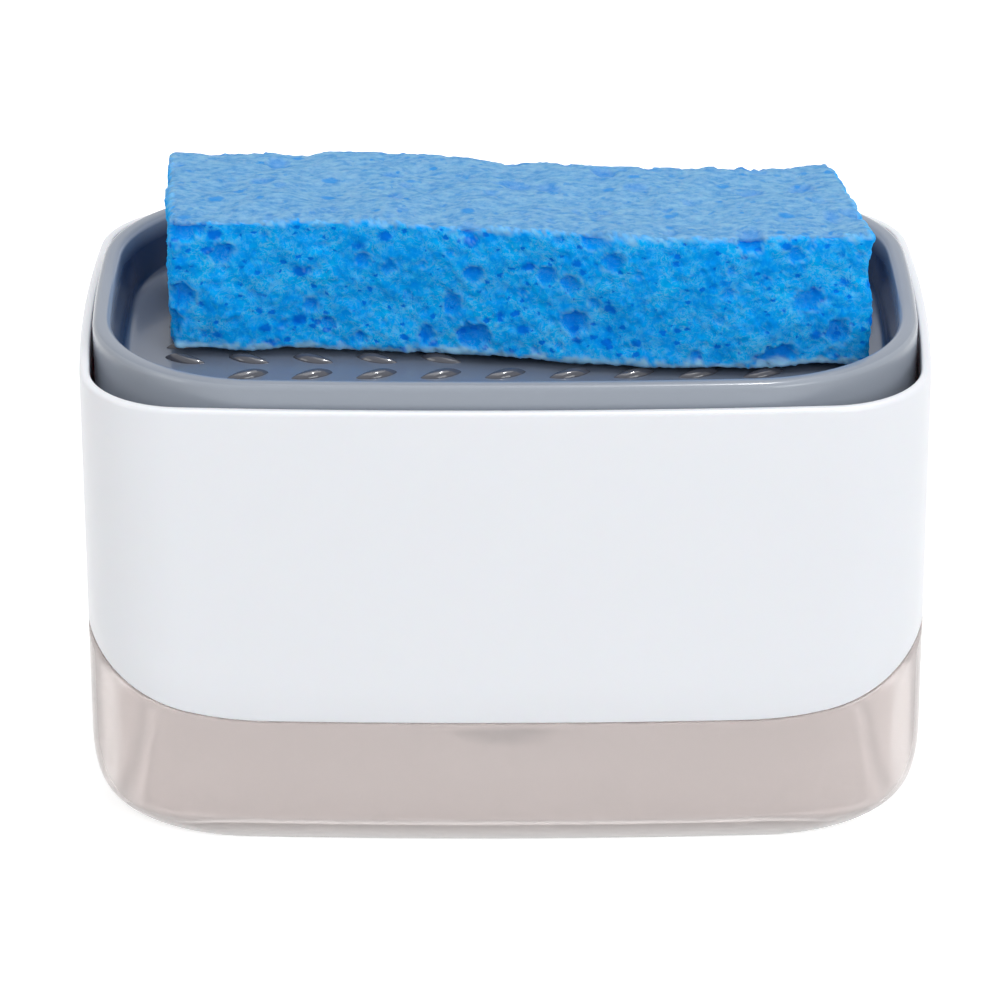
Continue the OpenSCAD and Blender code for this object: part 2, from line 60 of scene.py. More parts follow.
def arcs(corner, inset):
    """Centre and radius of the end's, the corner's and the front's arc, drawn in by inset. The middle
    of front and ends stands CROWN outside; the corner's arc is centred where those two, both drawn
    in by inset + corner, cross."""
    half_w, half_d = BODY_W / 2, BODY_D / 2
    front_r = (half_w**2 + CROWN**2) / (2 * CROWN)
    end_r = (half_d**2 + CROWN**2) / (2 * CROWN)
    front_c, end_c = np.array([0.0, half_d - front_r]), np.array([half_w - end_r, 0.0])
    a, b = front_r - inset - corner, end_r - inset - corner
    along = end_c - front_c
    span = np.hypot(*along)
    along = along / span
    reach = (a * a - b * b + span * span) / (2 * span)
    middle = front_c + reach * along + math.sqrt(a * a - reach * reach) * np.array([along[1], -along[0]])
    return (end_c, end_r - inset), (middle, corner), (front_c, front_r - inset)


def directions(t):
    """The points at the angles t on a circle of radius 1."""
    return np.stack([np.cos(t), np.sin(t)], axis=1)


def outline(corner, inset):
    """A closed loop of points round the body, drawn in by inset: a quarter of three arcs, mirrored
    into the other three."""
    three = arcs(corner, inset)
    end_c, middle, front_c = (centre for centre, r in three)
    low = math.atan2(middle[1], middle[0] - end_c[0])
    high = math.atan2(middle[1] - front_c[1], middle[0])
    spans = ((0.0, low, END_STEPS), (low, high, CORNER_STEPS), (high, math.pi / 2, FRONT_STEPS))
    parts = []
    for (centre, r), (start, stop, steps) in zip(three, spans):
        t = np.linspace(start, stop, steps + 1)[:-1]
        parts.append(centre + r * directions(t))
    quarter = np.vstack(parts)
    back, left = np.array([[0.0, BODY_D / 2 - inset]]), quarter[::-1] * [-1, 1]
    return np.vstack([quarter, back, left, -quarter[1:], -back, quarter[:0:-1] * [1, -1]])


def row(points, z):
    """The loop with a height for each point: z is a number, or a function of x."""
    height = z(points[:, 0]) if callable(z) else np.full(len(points), float(z))
    return np.column_stack([points, height])


def body_loop(inset):
    """The body's outline, drawn in by inset."""
    return outline(BODY_CORNER - inset, inset)


def layers(loop, profile):
    """A row for each [inset, height] of a profile, on the loop drawn in by that inset."""
    return [row(loop(inset), z) for inset, z in profile]


def edge_height(x):
    """Sleeve's lower edge over x: level in the middle, then a quarter ellipse up to the ends."""
    sweep = (BODY_W - EDGE_FLAT) / 2 + EDGE_PAST
    t = np.clip((np.abs(x) - EDGE_FLAT / 2) / sweep, 0.0, 1.0)
    return EDGE_LOW + EDGE_RISE * (1 - np.sqrt(1 - t * t))


def edge_line(shift, level=0.0, share=0.0):
    """Heights over x: the sleeve's lower edge moved up by shift, or that share of the way to level."""
    return lambda x: edge_height(x) + shift + (level - edge_height(x)) * share


def in_scene(name, data):
    """A new object in the scene that shows this mesh, lamp or camera."""
    holder = bpy.data.objects.new(name, data)
    bpy.context.scene.collection.objects.link(holder)
    return holder


def as_piece(name, points, faces, smooth=True):
    """A mesh object at the origin, in the scene, from points in millimetres and their faces."""
    mesh = bpy.data.meshes.new(name)
    mesh.from_pydata((points * MM).tolist(), [], faces)
    mesh.update()
    if smooth:
        mesh.shade_smooth()
    return in_scene(name, mesh)


def bands(count, n, closed=False):
    """Quads between each of count rows of n points and the next. They face out when a row turns
    anticlockwise and the next lies above it."""
    j, i = np.meshgrid(np.arange(count if closed else count - 1), np.arange(n), indexing="ij")
    after, k = (j + 1) % count, (i + 1) % n
    return np.stack([j * n + i, j * n + k, after * n + k, after * n + i], axis=-1).reshape(-1, 4)


def skin(name, rows, closed=True):
    """A smooth piece through rows of equal loops. Its last row joins its first, or, if it isn't
    closed, each end gets a fan to its middle."""
    rows = np.asarray(rows, dtype=float)
    count, n = rows.shape[:2]
    points, faces = rows.reshape(-1, 3), bands(count, n, closed).tolist()
    if not closed:
        points = np.vstack([points, rows[0].mean(axis=0), rows[-1].mean(axis=0)])
        ring, top = np.arange(n), (count - 1) * n
        turn = (ring + 1) % n
        faces += np.stack([turn, ring, np.full(n, count * n)], axis=1).tolist()
        faces += np.stack([top + ring, top + turn, np.full(n, count * n + 1)], axis=1).tolist()
    return as_piece(name, points, faces)


def eased(across, up, *steps):
    """A profile's corner, replaced by a point at each of these steps [across, up] away from it."""
    return [(across + a, up + b) for a, b in steps]


def rounding(inset, z, r, start, stop, steps=5):
    """[inset, height] along a quarter turn about (inset, z): angle 0 points outward, 90 up."""
    t = np.radians(np.linspace(start, stop, steps + 1))
    return [(inset - r * math.cos(a), z + r * math.sin(a)) for a in t]


def srgb(r, g, b):
    """A colour of 0 to 255 as the eye sees it, made linear for the shader."""
    c = np.array([r, g, b]) / 255.0
    return (*np.where(c <= 0.04045, c / 12.92, ((c + 0.055) / 1.055) ** 2.4), 1.0)


def shader_of(material):
    """The Principled shader that makes the material's surface."""
    return material.node_tree.nodes["Principled BSDF"]


def finish(name, **sockets):
    """A new node material whose Principled shader holds these constants on its own sockets."""
    material = bpy.data.materials.new(name)
    material.use_nodes = True
    for socket, value in sockets.items():
        shader_of(material).inputs[socket.replace("_", " ")].default_value = value
    return material


def node(material, kind, inputs=(), **settings):
    """Adds one shader node. inputs maps a socket to a constant or to another node's output."""
    made = material.node_tree.nodes.new("ShaderNode" + kind)
    for key, value in settings.items():
        setattr(made, key, value)
    for socket, value in dict(inputs).items():
        if isinstance(value, bpy.types.NodeSocket):
            material.node_tree.links.new(value, made.inputs[socket])
        else:
            made.inputs[socket].default_value = value
    return made


def feed(material, socket, output):
    """Joins an output to one of the Principled shader's sockets."""
    material.node_tree.links.new(output, shader_of(material).inputs[socket])


def noise(material, place, scale, detail, roughness=0.5, distortion=0.0):
    """Cloudy noise of about that many swells to the metre, as its outputs."""
    return node(material, "TexNoise", {"Vector": place, "Scale": scale, "Detail": detail,
                                       "Roughness": roughness, "Distortion": distortion}).outputs


def stretched(material, value, low, high, first=0.0, last=1.0):
    """A value stretched so that low becomes first and high becomes last, and cut off there."""
    made = node(material, "MapRange", {"Value": value, "From Min": low, "From Max": high,
                                       "To Min": first, "To Max": last})
    return made.outputs["Result"]


def blend(material, share, first, second):
    """Mixes two colours, each a constant or an output, by an output's share of the second."""
    made = node(material, "Mix", {"Factor": share}, data_type="RGBA")
    for value, socket in zip((first, second), [i for i in made.inputs if i.type == "RGBA"]):
        if isinstance(value, bpy.types.NodeSocket):
            material.node_tree.links.new(value, socket)
        else:
            socket.default_value = value
    return next(o for o in made.outputs if o.type == "RGBA")


def moulded(name, rough, spread=0.05, grain=0.7, bump=0.003, **sockets):
    """A moulded or turned part's finish: fine noise of the grain's size and bump deep, in mm, and
    broad patches whose roughness lies within spread of rough."""
    material = finish(name, **sockets)
    place = node(material, "TexCoord").outputs["Object"]
    fine = noise(material, place, scale=1 / (grain * MM), detail=3.0)
    broad = noise(material, place, scale=70.0, detail=4.0)
    swell = node(material, "Bump", {"Height": fine["Fac"], "Strength": 1.0, "Distance": bump * MM})
    gloss = stretched(material, broad["Fac"], 0.3, 0.7, rough - spread, rough + spread)
    feed(material, "Normal", swell.outputs["Normal"])
    feed(material, "Roughness", gloss)
    return material


def dress(piece, body, slot, material, *nodes):
    """The piece rides on the body, takes this material and stands for nodes. The slot is not used."""
    piece.data.materials.append(material)
    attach(piece, body)
    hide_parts(*nodes)


def mark(piece, name, values):
    """Keeps one number for each point of the piece, for its material to read."""
    layer = piece.data.attributes.new(name, "FLOAT", "POINT")
    layer.data.foreach_set("value", np.asarray(values, dtype=float).ravel())


def kept(material, name):
    """The piece's own numbers of that name, as an output."""
    return node(material, "Attribute", attribute_name=name, attribute_type="GEOMETRY").outputs["Fac"]


def toned(material, name, first, second):
    """The base colour runs from the first to the second with those numbers."""
    feed(material, "Base Color", blend(material, kept(material, name), first, second))


def tank_rows():
    """From under the foot up its rounded base and flush wall to the sleeve's edge, in and up behind
    the sleeve, over the rim and down the cavity to its floor. Corners are eased by up to 0.3 mm."""
    foot = BASE_W + FOOT_W
    profile = [(foot + 0.3, FOOT_H), (foot, FOOT_H - 0.15), (foot - 0.1, 0.12), (foot - 0.3, 0.0)]
    rows = [row(outline(BODY_CORNER + BASE_SPREAD * BASE_W - FOOT_W, i), z) for i, z in profile]
    for a in np.radians(np.linspace(0, 90, BASE_STEPS + 1)):
        inset = BASE_W * (1 - math.sin(a))
        rows.append(row(outline(BODY_CORNER + BASE_SPREAD * inset, inset), BASE_H * (1 - math.cos(a))))
    profile = [(0.0, edge_line(-0.5 * s, BASE_H, 1 - s)) for s in (0.15, 0.4, 0.65, 0.88)]
    profile += [(0.0, edge_line(-0.55)), (0.08, edge_line(-0.36)), (0.3, edge_line(-EDGE_GAP)),
                (1.5, edge_line(-EDGE_GAP)), (TANK_INSET, edge_line(0.1))]
    profile += [(TANK_INSET, edge_line(0.1, TANK_LEVEL, s)) for s in (0.35, 0.7, 1.0)]
    profile += eased(TANK_INSET, TANK_TOP, (0, -0.3), (0.09, -0.09), (0.3, 0))
    profile += eased(TANK_CAVITY, TANK_TOP, (-0.3, 0), (-0.09, -0.09), (0, -0.3))
    profile += [(TANK_CAVITY, 40.0), (TANK_CAVITY, 20.0)]
    profile += rounding(TANK_CAVITY + TANK_FILLET, TANK_FLOOR + TANK_FILLET, TANK_FILLET, 0, -90, 8)
    return rows + layers(body_loop, profile + [(TANK_CAVITY + TANK_FILLET + 2.0, TANK_FLOOR)])


def foot_painted_light(rows):
    """Share of painted light: 1 low on the outside of the foot, falling to 0 over PAINTED_LIGHT_FADE up
    to
    PAINTED_LIGHT_TOP, and 0 on every other face and on the two middle points of the skin's ends."""
    rank = np.arange(len(rows))[:, None]
    outside = (rank >= FOOT_ROWS) & (rank <= FOOT_ROWS + BASE_STEPS)
    return np.append(outside * np.clip((PAINTED_LIGHT_TOP - rows[:, :, 2]) / PAINTED_LIGHT_FADE, 0, 1), [0, 0])


# Painted light: the foot's outside is paler and lets less light straight through than the walls,
# which lightens the shadow under the tank that shows through it.
clear = moulded("clear_styrene", 0.13, 0.02, grain=2.4, bump=0.002, IOR=1.45, Specular_IOR_Level=0.3)
toned(clear, "painted_foot_light", srgb(242, 234, 232), srgb(255, 252, 251))
through = stretched(clear, kept(clear, "painted_foot_light"), 0.0, 1.0, THROUGH_WALL, THROUGH_FOOT)
feed(clear, "Transmission Weight", through)
tank_loops = np.array(tank_rows())
tank = skin("Soap_tank", tank_loops, closed=False)
mark(tank, "painted_foot_light", foot_painted_light(tank_loops))
dress(tank, "base", "clear_plastic", clear, "soap_tank")

# Outer sleeve: the white band round the tank, with a fine rounded lip above and a lower edge that
# sweeps up to the ends. Satin white moulding; its inside ledge carries the pump deck.
SLEEVE_TOP, SLEEVE_WALL, LIP_R, LIP_IN_R = 76.0, 1.6, 0.8, 0.35
LEDGE_TOP, LEDGE_T, LEDGE_W = 57.25, 1.8, 3.0
SLEEVE_LEVEL, SLEEVE_EASE, EASE_IN = 48.0, 0.28, 0.08


def sleeve_rows():
    """Up the outside from the curved lower edge, over the rounded lip, down the inside, round the
    ledge and back to the edge. Its corners are eased by SLEEVE_EASE, the ledge's by 0.3 mm."""
    corner = ((0.0, SLEEVE_EASE), (EASE_IN, EASE_IN), (SLEEVE_EASE, 0.0))
    profile = [(away, edge_line(shift)) for away, shift in corner[::-1]]
    profile += [(0.0, edge_line(SLEEVE_EASE, SLEEVE_LEVEL, s)) for s in (0.25, 0.5, 0.75, 1.0)]
    profile += [(0.0, 62.0)] + rounding(LIP_R, SLEEVE_TOP - LIP_R, LIP_R, 0, 90, 6)
    profile += rounding(SLEEVE_WALL - LIP_IN_R, SLEEVE_TOP - LIP_IN_R, LIP_IN_R, 90, 180, 4)
    tip, low = SLEEVE_WALL + LEDGE_W, LEDGE_TOP - LEDGE_T
    profile += [(SLEEVE_WALL, 66.0)] + eased(SLEEVE_WALL, LEDGE_TOP, (0, 0.3), (0.3, 0))
    profile += eased(tip, LEDGE_TOP, (-0.3, 0), (0, -0.3)) + eased(tip, low, (0, 0.3), (-0.3, 0))
    profile += [(SLEEVE_WALL + 0.1, low)]
    profile += [(SLEEVE_WALL, edge_line(SLEEVE_EASE, SLEEVE_LEVEL, s)) for s in (1.0, 0.6, 0.25)]
    profile += [(SLEEVE_WALL - away, edge_line(shift)) for away, shift in corner]
    return layers(body_loop, profile)


white = moulded("white_satin", 0.32, 0.012, grain=0.9, bump=0.002, Base_Color=srgb(239, 241, 246),
                Coat_Weight=0.15, Coat_Roughness=0.12, Subsurface_Weight=0.06, Subsurface_Scale=0.002)
dress(skin("Outer_sleeve", sleeve_rows()), "base", "white_plastic", white, "outer_sleeve")

# Press tray: the grey gloss dish that is pushed down to pump, one moulding with a rolled rim, a
# sloping well and a skirt underneath. Its leaves lift the sponge off the floor.
TRAY_INSET, TRAY_CORNER, TRAY_TOP = 2.05, 28.0, 79.6
WELL_FLOOR, TRAY_UNDER, SKIRT_LOW, SKIRT_WALL = 70.1, 68.1, 65.6, 2.4
RIM_R, RIM_IN_R, RIM_W, WELL_DRAFT, WELL_FILLET = 1.2, 1.15, 3.0, 1.0, 2.0
PLUG_R, SEAT_R, SEAT_DEPTH = 4.95, 6.7, 0.6
# Painted shade in the well and on the rim's top: where it starts and fades, and what floor and rim keep.
SHADE_START, SHADE_FADE, FLOOR_SHADE, FLOOR_FADE = 0.6, 2.4, 0.46, 1.5
RIM_SHADE, RIM_SHADE_H = 0.18, 0.25
EVENLY = (0.0, 0.25, 0.5, 0.75, 1.0)


def tray_loop(inset):
    """The tray's outline, drawn in by inset from its skirt."""
    return outline(TRAY_CORNER - inset, TRAY_INSET + inset)


def toward_hole(loop, r, z, shares):
    """Level rows at those shares of the way from a loop to a circle of radius r. Each point slides
    straight toward the middle or away from it."""
    circle = r * directions(np.arctan2(loop[:, 1], loop[:, 0]))
    return [row(loop * (1 - share) + circle * share, z) for share in shares]


def circles(loop, profile):
    """A circle for each [radius, height] of a profile, with points in the loop's directions."""
    return [toward_hole(loop, r, z, (1.0,))[0] for r, z in profile]


def tray_rows():
    """From the hole out under the floor, round the skirt, up its outside, over the rolled rim, down
    the sloping well, in over the floor and down into the nozzle's seat."""
    rows = toward_hole(tray_loop(SKIRT_WALL + 0.6), PLUG_R, TRAY_UNDER, EVENLY[::-1])
    profile = eased(SKIRT_WALL, TRAY_UNDER, (0.17, -0.17), (0, -0.6))
    profile += eased(SKIRT_WALL, SKIRT_LOW, (0, 0.3), (-0.3, 0)) + [(0.3, SKIRT_LOW)]
    profile += rounding(0.3, SKIRT_LOW + 0.3, 0.3, -60, 0, 2) + [(0.0, 70.0), (0.0, 75.0)]
    profile += rounding(RIM_R, TRAY_TOP - RIM_R, RIM_R, 0, 90, 8)
    profile += rounding(RIM_W - RIM_IN_R, TRAY_TOP - RIM_IN_R, RIM_IN_R, 90, 172, 7)
    slope = RIM_W + WELL_DRAFT
    profile += [(RIM_W + 0.35, TRAY_TOP - 3.4), (RIM_W + 0.7, TRAY_TOP - 5.4)]
    profile += rounding(slope + WELL_FILLET, WELL_FLOOR + WELL_FILLET, WELL_FILLET, 0, -90, 7)
    floor = tray_loop(slope + WELL_FILLET + 0.6)
    rows += layers(tray_loop, profile) + toward_hole(floor, SEAT_R + 0.1, WELL_FLOOR, EVENLY)
    seat = WELL_FLOOR - SEAT_DEPTH
    return rows + circles(floor, [(SEAT_R, WELL_FLOOR - 0.1), (SEAT_R, seat), (PLUG_R, seat)])


def painted_well_shade(rows):
    """Painted shade, with a painted bluish reflection of the sponge: 1 on the well's slope, fading out
    toward the rim and to FLOOR_SHADE on the floor. The rim's very top has RIM_SHADE of painted shade."""
    height = rows[:, :, 2]
    past_rim = np.arange(len(rows))[:, None] > height[:, 0].argmax()
    slope = past_rim * np.clip((TRAY_TOP - SHADE_START - height) / SHADE_FADE, 0, 1)
    floor = np.clip(FLOOR_SHADE + (height - WELL_FLOOR) / FLOOR_FADE, FLOOR_SHADE, 1)
    return slope * floor + RIM_SHADE * (height > TRAY_TOP - RIM_SHADE_H)


grey = moulded("grey_gloss", 0.2, 0.03, grain=1.2, bump=0.002, Specular_IOR_Level=0.3,
               Coat_Weight=0.12, Coat_Roughness=0.05)
# The well's colour runs from the plastic's grey to a dark blue: painted shade with a painted reflection
# of the blue sponge.
toned(grey, "well", srgb(156, 163, 174), srgb(31, 58, 92))
tray_loops = np.array(tray_rows())
tray = skin("Press_tray", tray_loops)
mark(tray, "well", painted_well_shade(tray_loops))
dress(tray, "press_top", "grey_plastic", grey, "press_tray")

# Leaves: the low domed leaves moulded into the tray's floor in rows, pointed at both ends and
# slanting the other way in each second row. Same shot of plastic as the tray.
LEAF_L, LEAF_W, LEAF_H, LEAF_SLANT = 6.9, 2.5, 1.0, 20.0
PITCH_X, PITCH_Y = 10.2, 6.1
LEAF_MARGIN, LEAF_CLEAR, NOZZLE_CLEAR = 8.1, 4.5, 10.0
LEAF_SINK, LEAF_PEAK, LEAF_AROUND, LEAF_RINGS = 0.15, 0.8, 28, 8


def leaf_places():
    """Rows and columns of places, kept where a leaf lies on the level floor clear of the nozzle."""
    floor_inset = RIM_W + WELL_DRAFT + WELL_FILLET
    rows, columns = np.meshgrid(np.arange(-6, 6), np.arange(-6, 7), indexing="ij")
    x, y = columns.ravel() * PITCH_X, (rows.ravel() + 0.5) * PITCH_Y
    centre = arcs(TRAY_CORNER, TRAY_INSET)[1][0]
    reach = TRAY_CORNER - floor_inset - LEAF_MARGIN
    cx, cy = np.abs(x) - centre[0], np.abs(y) - centre[1]
    half_d = BODY_D / 2 - TRAY_INSET - floor_inset
    fits = (cx <= reach) & (np.abs(y) <= half_d - LEAF_CLEAR) & (np.hypot(x, y) > NOZZLE_CLEAR)
    fits &= (cx <= 0) | (cy <= 0) | (np.hypot(cx, cy) <= reach)
    even = rows.ravel() % 2 == 0
    return x[fits], y[fits], np.radians(np.where(even, 180.0 - LEAF_SLANT, LEAF_SLANT)[fits])


def leaf_dome():
    """One leaf: rings of a pointed outline, x = cos t and y = sin t |sin t|^0.6 by its half sizes, at
    the share s of its size and drawn toward its peak. The height is a dome, (1 - s^2)^0.75."""
    t = np.arange(LEAF_AROUND) * 2 * np.pi / LEAF_AROUND
    s = np.sin(np.linspace(90.0, 90.0 / LEAF_RINGS, LEAF_RINGS) * np.pi / 180)[:, None]
    x = s * np.cos(t) * LEAF_L / 2 + LEAF_PEAK * (1 - s)
    y = s * np.sin(t) * np.abs(np.sin(t)) ** 0.6 * LEAF_W / 2
    return x, y, np.broadcast_to(LEAF_H * np.maximum(1 - s**2, 0) ** 0.75, x.shape)


def rotated(x, y, turn):
    """Where (x, y) comes to lie when it is turned anticlockwise about the middle."""
    return x * np.cos(turn) - y * np.sin(turn), x * np.sin(turn) + y * np.cos(turn)


def leaf_points():
    """The dome turned and set down at each place, from a ring sunk in the floor to its peak."""
    x, y, z = leaf_dome()
    px, py, slant = leaf_places()
    gx, gy = rotated(x, y, slant[:, None, None])
    rings = np.stack([px[:, None, None] + gx, py[:, None, None] + gy,
                      np.broadcast_to(WELL_FLOOR + z, gx.shape)], axis=-1)
    sunk = rings[:, :1] * [1, 1, 0] + [0, 0, WELL_FLOOR - LEAF_SINK]
    peaks = np.stack([px + LEAF_PEAK * np.cos(slant), py + LEAF_PEAK * np.sin(slant),
                      np.full(len(px), WELL_FLOOR + LEAF_H)], axis=-1)
    domes = np.concatenate([sunk, rings], axis=1).reshape(len(px), -1, 3)
    return np.concatenate([domes, peaks[:, None]], axis=1)


def leaf_faces(count):
    """Bands of quads up each leaf, a fan of triangles to its peak and one face underneath."""
    ring, top = np.arange(LEAF_AROUND), LEAF_RINGS * LEAF_AROUND
    peak = top + LEAF_AROUND
    quads = bands(LEAF_RINGS + 1, LEAF_AROUND)
    fan = np.stack([top + ring, top + (ring + 1) % LEAF_AROUND, np.full(LEAF_AROUND, peak)], axis=-1)
    faces = []
    for first in range(0, count, peak + 1):
        faces += (quads + first).tolist() + (fan + first).tolist() + [(ring[::-1] + first).tolist()]
    return faces


leaf_grid = leaf_points().reshape(-1, 3)
leaves = as_piece("Tray_leaves", leaf_grid, leaf_faces(len(leaf_grid)))
leaf_grey = moulded("grey_leaf", 0.12, 0.02, grain=1.2, bump=0.001, Base_Color=srgb(86, 87, 95),
                    Specular_IOR_Level=0.6)
dress(leaves, "press_top", "grey_plastic", leaf_grey, "press_tray")

# Tray ribs: eight upright webs under the tray's floor, from the pump's head out to the skirt.
# Part of the tray's moulding; they stop a little short of the skirt's lower edge.
RIB_T, RIB_H, RIB_START, RIB_EASE = 1.6, 2.0, 9.3, 0.25


def rib_ends():
    """Direction and length of each rib: its middle line runs to where it meets the skirt."""
    loop = outline(TRAY_CORNER - SKIRT_WALL / 2, TRAY_INSET + SKIRT_WALL / 2)
    turn = np.radians(np.arange(0, 360, 45))
    angle = np.arctan2(loop[:, 1], loop[:, 0]) % (2 * np.pi)
    order = np.argsort(angle)
    return turn, np.interp(turn, angle[order], np.hypot(*loop[order].T), period=2 * np.pi)


def rib_points():
    """Eight bars. Each has a six-sided section, flat above and with eased lower edges, at its two
    ends: along the bar, across it and up."""
    turn, reach = rib_ends()
    half, top = RIB_T / 2, TRAY_UNDER + 0.2
    low = TRAY_UNDER - RIB_H
    across = np.array([half, half, half - RIB_EASE, RIB_EASE - half, -half, -half])
    up = np.array([top, low + RIB_EASE, low, low, low + RIB_EASE, top])
    along = np.stack([np.full(len(turn), RIB_START), reach], axis=1)
    x, y = rotated(along[:, :, None], across, turn[:, None, None])
    return np.stack([x, y, np.broadcast_to(up, x.shape)], axis=-1)


def rib_faces(bars):
    """Two ends and six sides for each bar of twelve points."""
    faces = []
    for first in range(0, bars * 12, 12):
        near, far = np.arange(6) + first, np.arange(6) + first + 6
        faces += [near.tolist(), far[::-1].tolist()]
        faces += np.stack([near, far, np.roll(far, -1), np.roll(near, -1)], axis=1).tolist()
    return faces


bars = rib_points()
ribs = as_piece("Tray_ribs", bars.reshape(-1, 3), rib_faces(len(bars)), smooth=False)
mark(ribs, "well", np.zeros(len(ribs.data.vertices)))
dress(ribs, "press_top", "grey_plastic", grey, "press_tray")

# Sponge: a block of blue cellulose sponge, cut by hand, so that its ends slant and it bends a
# little. Open pores of every size show on the cut faces; top and bottom have a paler, felted skin.
SPONGE_W, SPONGE_D, SPONGE_H, SPONGE_EDGE = 112.0, 30.0, 21.8, 1.1
SPONGE_X, SPONGE_Y, SPONGE_Z, SPONGE_TURN, SPONGE_PRESS = 1.6, 5.4, 71.25, -3.2, 0.12
ALONG, SIDE_STEPS, TOP_STEPS, EDGE_STEPS, CAP_STEPS = 290, 52, 74, 4, 26
PORE_ROOM, PORE_RIM, PORE_RIM_W = 1.15, 1.05, 0.12
# Height, length and seed of the waves that swell the faces, roughen them and tear their edges.
SWELLS, LUMPS = ((0.24, 17.0, 3), (0.12, 8.0, 4)), ((0.08, 3.0, 5), (0.07, 1.4, 6))
TEARS = (0.3, 4.0, 9), (0.25, 1.6, 10)
# What each end stands out by at its front, and how much less at its back.
LEFT_OUT, LEFT_SLANT, RIGHT_OUT, RIGHT_SLANT = -2.2, -3.4, 1.2, 6.8
# How the cut wanders: places along the sponge, and what its middle line bends by there, what its
# back face stands out by and what its front face leans in by at the bottom.
KNOTS = (-60, -56, -45, -30, -20, -10, 0, 14, 24, 34, 42, 50, 56, 60)
BEND = (-1.2, -0.9, 0.2, 1.4, 1.1, 0.0, -0.9, -2.5, -3.2, -2.9, -2.3, -0.4, -0.2, -0.2)
BACK = (0.6, 0.6, 0.8, 1.2, 1.0, 0.0, 0.2, -0.6, 0.0, 0.0, 1.2, 2.6, 2.4, 2.0)
LEAN = (0.6, 1.0, 1.4, 1.2, 1.2, 1.2, 1.2, 1.6, 1.9, 2.2, 2.2, 2.4, 1.0, 0.6)


def section_loop(width, height, r):
    """A closed loop round a rectangle with corners of radius r, anticlockwise seen from +x. It
    starts at the bottom of the back side."""
    w, h = width / 2 - r, height / 2 - r
    sides = (((w, -h), (w, h), SIDE_STEPS, 0), ((w, h), (-w, h), TOP_STEPS, 90),
             ((-w, h), (-w, -h), SIDE_STEPS, 180), ((-w, -h), (w, -h), TOP_STEPS, 270))
    parts = []
    for (ax, ay), (bx, by), steps, turn in sides:
        t = np.linspace(0.0, 1.0, steps + 1)[:-1, None]
        out = r * directions(np.radians([turn]))
        parts.append(np.array([ax, ay]) * (1 - t) + np.array([bx, by]) * t + out)
        a = np.radians(turn + np.linspace(0, 90, EDGE_STEPS + 1)[:-1])
        parts.append(np.array([bx, by]) + r * directions(a))
    return np.vstack(parts)


def sponge_block():
    """The plain block: its rectangular section, drawn in over a rounded edge at both ends and then
    to the middle of each end face, set along x."""
    inset = [SPONGE_H / 2 * (1 - k / CAP_STEPS) for k in range(CAP_STEPS)]
    inset = [i * 0.985 + SPONGE_EDGE * (1 - i / (SPONGE_H / 2)) for i in inset]
    left = [(-SPONGE_W / 2, i) for i in inset]
    arc = np.radians(np.linspace(0, 90, EDGE_STEPS + 1))
    left += [(-SPONGE_W / 2 + SPONGE_EDGE * (1 - math.cos(a)), SPONGE_EDGE * (1 - math.sin(a)))
             for a in arc]
    end = SPONGE_W / 2 - SPONGE_EDGE
    middle = [(x, 0.0) for x in np.linspace(-end, end, ALONG)]
    right = [(-x, i) for x, i in left[::-1]]
    rows = []
    for x, i in left + middle[1:-1] + right:
        loop = section_loop(SPONGE_D - 2 * i, SPONGE_H - 2 * i, max(SPONGE_EDGE - i, 0.15))
        rows.append(np.column_stack([np.full(len(loop), x), loop]))
    return np.array(rows)


def waves(points, length, seed, count=36):
    """Smooth noise of about unit size: a sum of cosine waves of that length in random directions."""
    rng = np.random.default_rng(seed)
    way = rng.normal(size=(count, 3))
    way *= (rng.uniform(0.7, 1.5, count) * 2 * np.pi / length / np.linalg.norm(way, axis=1))[:, None]
    return np.cos(points @ way.T + rng.uniform(0, 2 * np.pi, count)).sum(axis=1) / math.sqrt(count / 2)


def wave_sum(points, table):
    """The waves of a table of heights, lengths and seeds, added up."""
    return sum(height * waves(points, length, seed) for height, length, seed in table)


def pores(points, count, small, large, depth, seed):
    """Depth of open pores, and how near each point lies to a pore's rim. A pore is a dent with a
    wavering oval rim round a random point of the surface; one that would run into an earlier one is
    left out."""
    rng = np.random.default_rng(seed)
    wobble = waves(points, 1.8, seed + 20)
    centres = points[rng.integers(0, len(points), count)]
    radius = small + (large - small) * rng.random(count) ** 3
    stretch = rng.normal(size=(count, 3))
    stretch /= np.linalg.norm(stretch, axis=1)[:, None]
    stretch[:, 0] *= 1.6
    stretch /= np.linalg.norm(stretch, axis=1)[:, None]
    longer = 1 - 1 / rng.uniform(1.0, 1.9, count) ** 2
    dent, rim = np.zeros(len(points)), np.zeros(len(points))
    clear = [i for i in range(count) if np.all(np.linalg.norm(centres[:i] - centres[i], axis=1)
                                               > PORE_ROOM * (radius[:i] + radius[i]))]
    for c, r, way, more in zip(centres[clear], radius[clear], stretch[clear], longer[clear]):
        near = np.flatnonzero(np.abs(points[:, 0] - c[0]) < 2 * r)
        d = points[near] - c
        gap = np.sqrt(np.maximum((d * d).sum(axis=1) - more * (d @ way) ** 2, 0.0)) / r
        gap = gap * (1 + 0.1 * wobble[near])
        rim[near] = np.maximum(rim[near], np.exp(-(((gap - PORE_RIM) / PORE_RIM_W) ** 2)))
        inside = gap < 1
        near, gap = near[inside], gap[inside]
        dent[near] = np.maximum(dent[near], depth * r * np.sqrt(1 - gap * gap) * (1 - gap**8))
    return dent, rim


def felted(points, normals):
    """How far each point belongs to the felted skin: 1 on the level faces and 0 on the cut ones, with
    a wavering border between them."""
    level = np.abs(normals[:, 2])
    return np.clip((level - 0.6 + 0.2 * waves(points, 1.3, 11) * (level < 0.97)) / 0.3, 0, 1)


def swelling(points, normals, skin_share):
    """How far each point moves out: broad waves, half as high underneath, and small lumps, lower on
    the felted skin."""
    under = np.clip(-normals[:, 2], 0, 1)
    lumps = wave_sum(points, LUMPS) * (1 - 0.72 * skin_share)
    return wave_sum(points, SWELLS) * (1 - 0.5 * under) + lumps


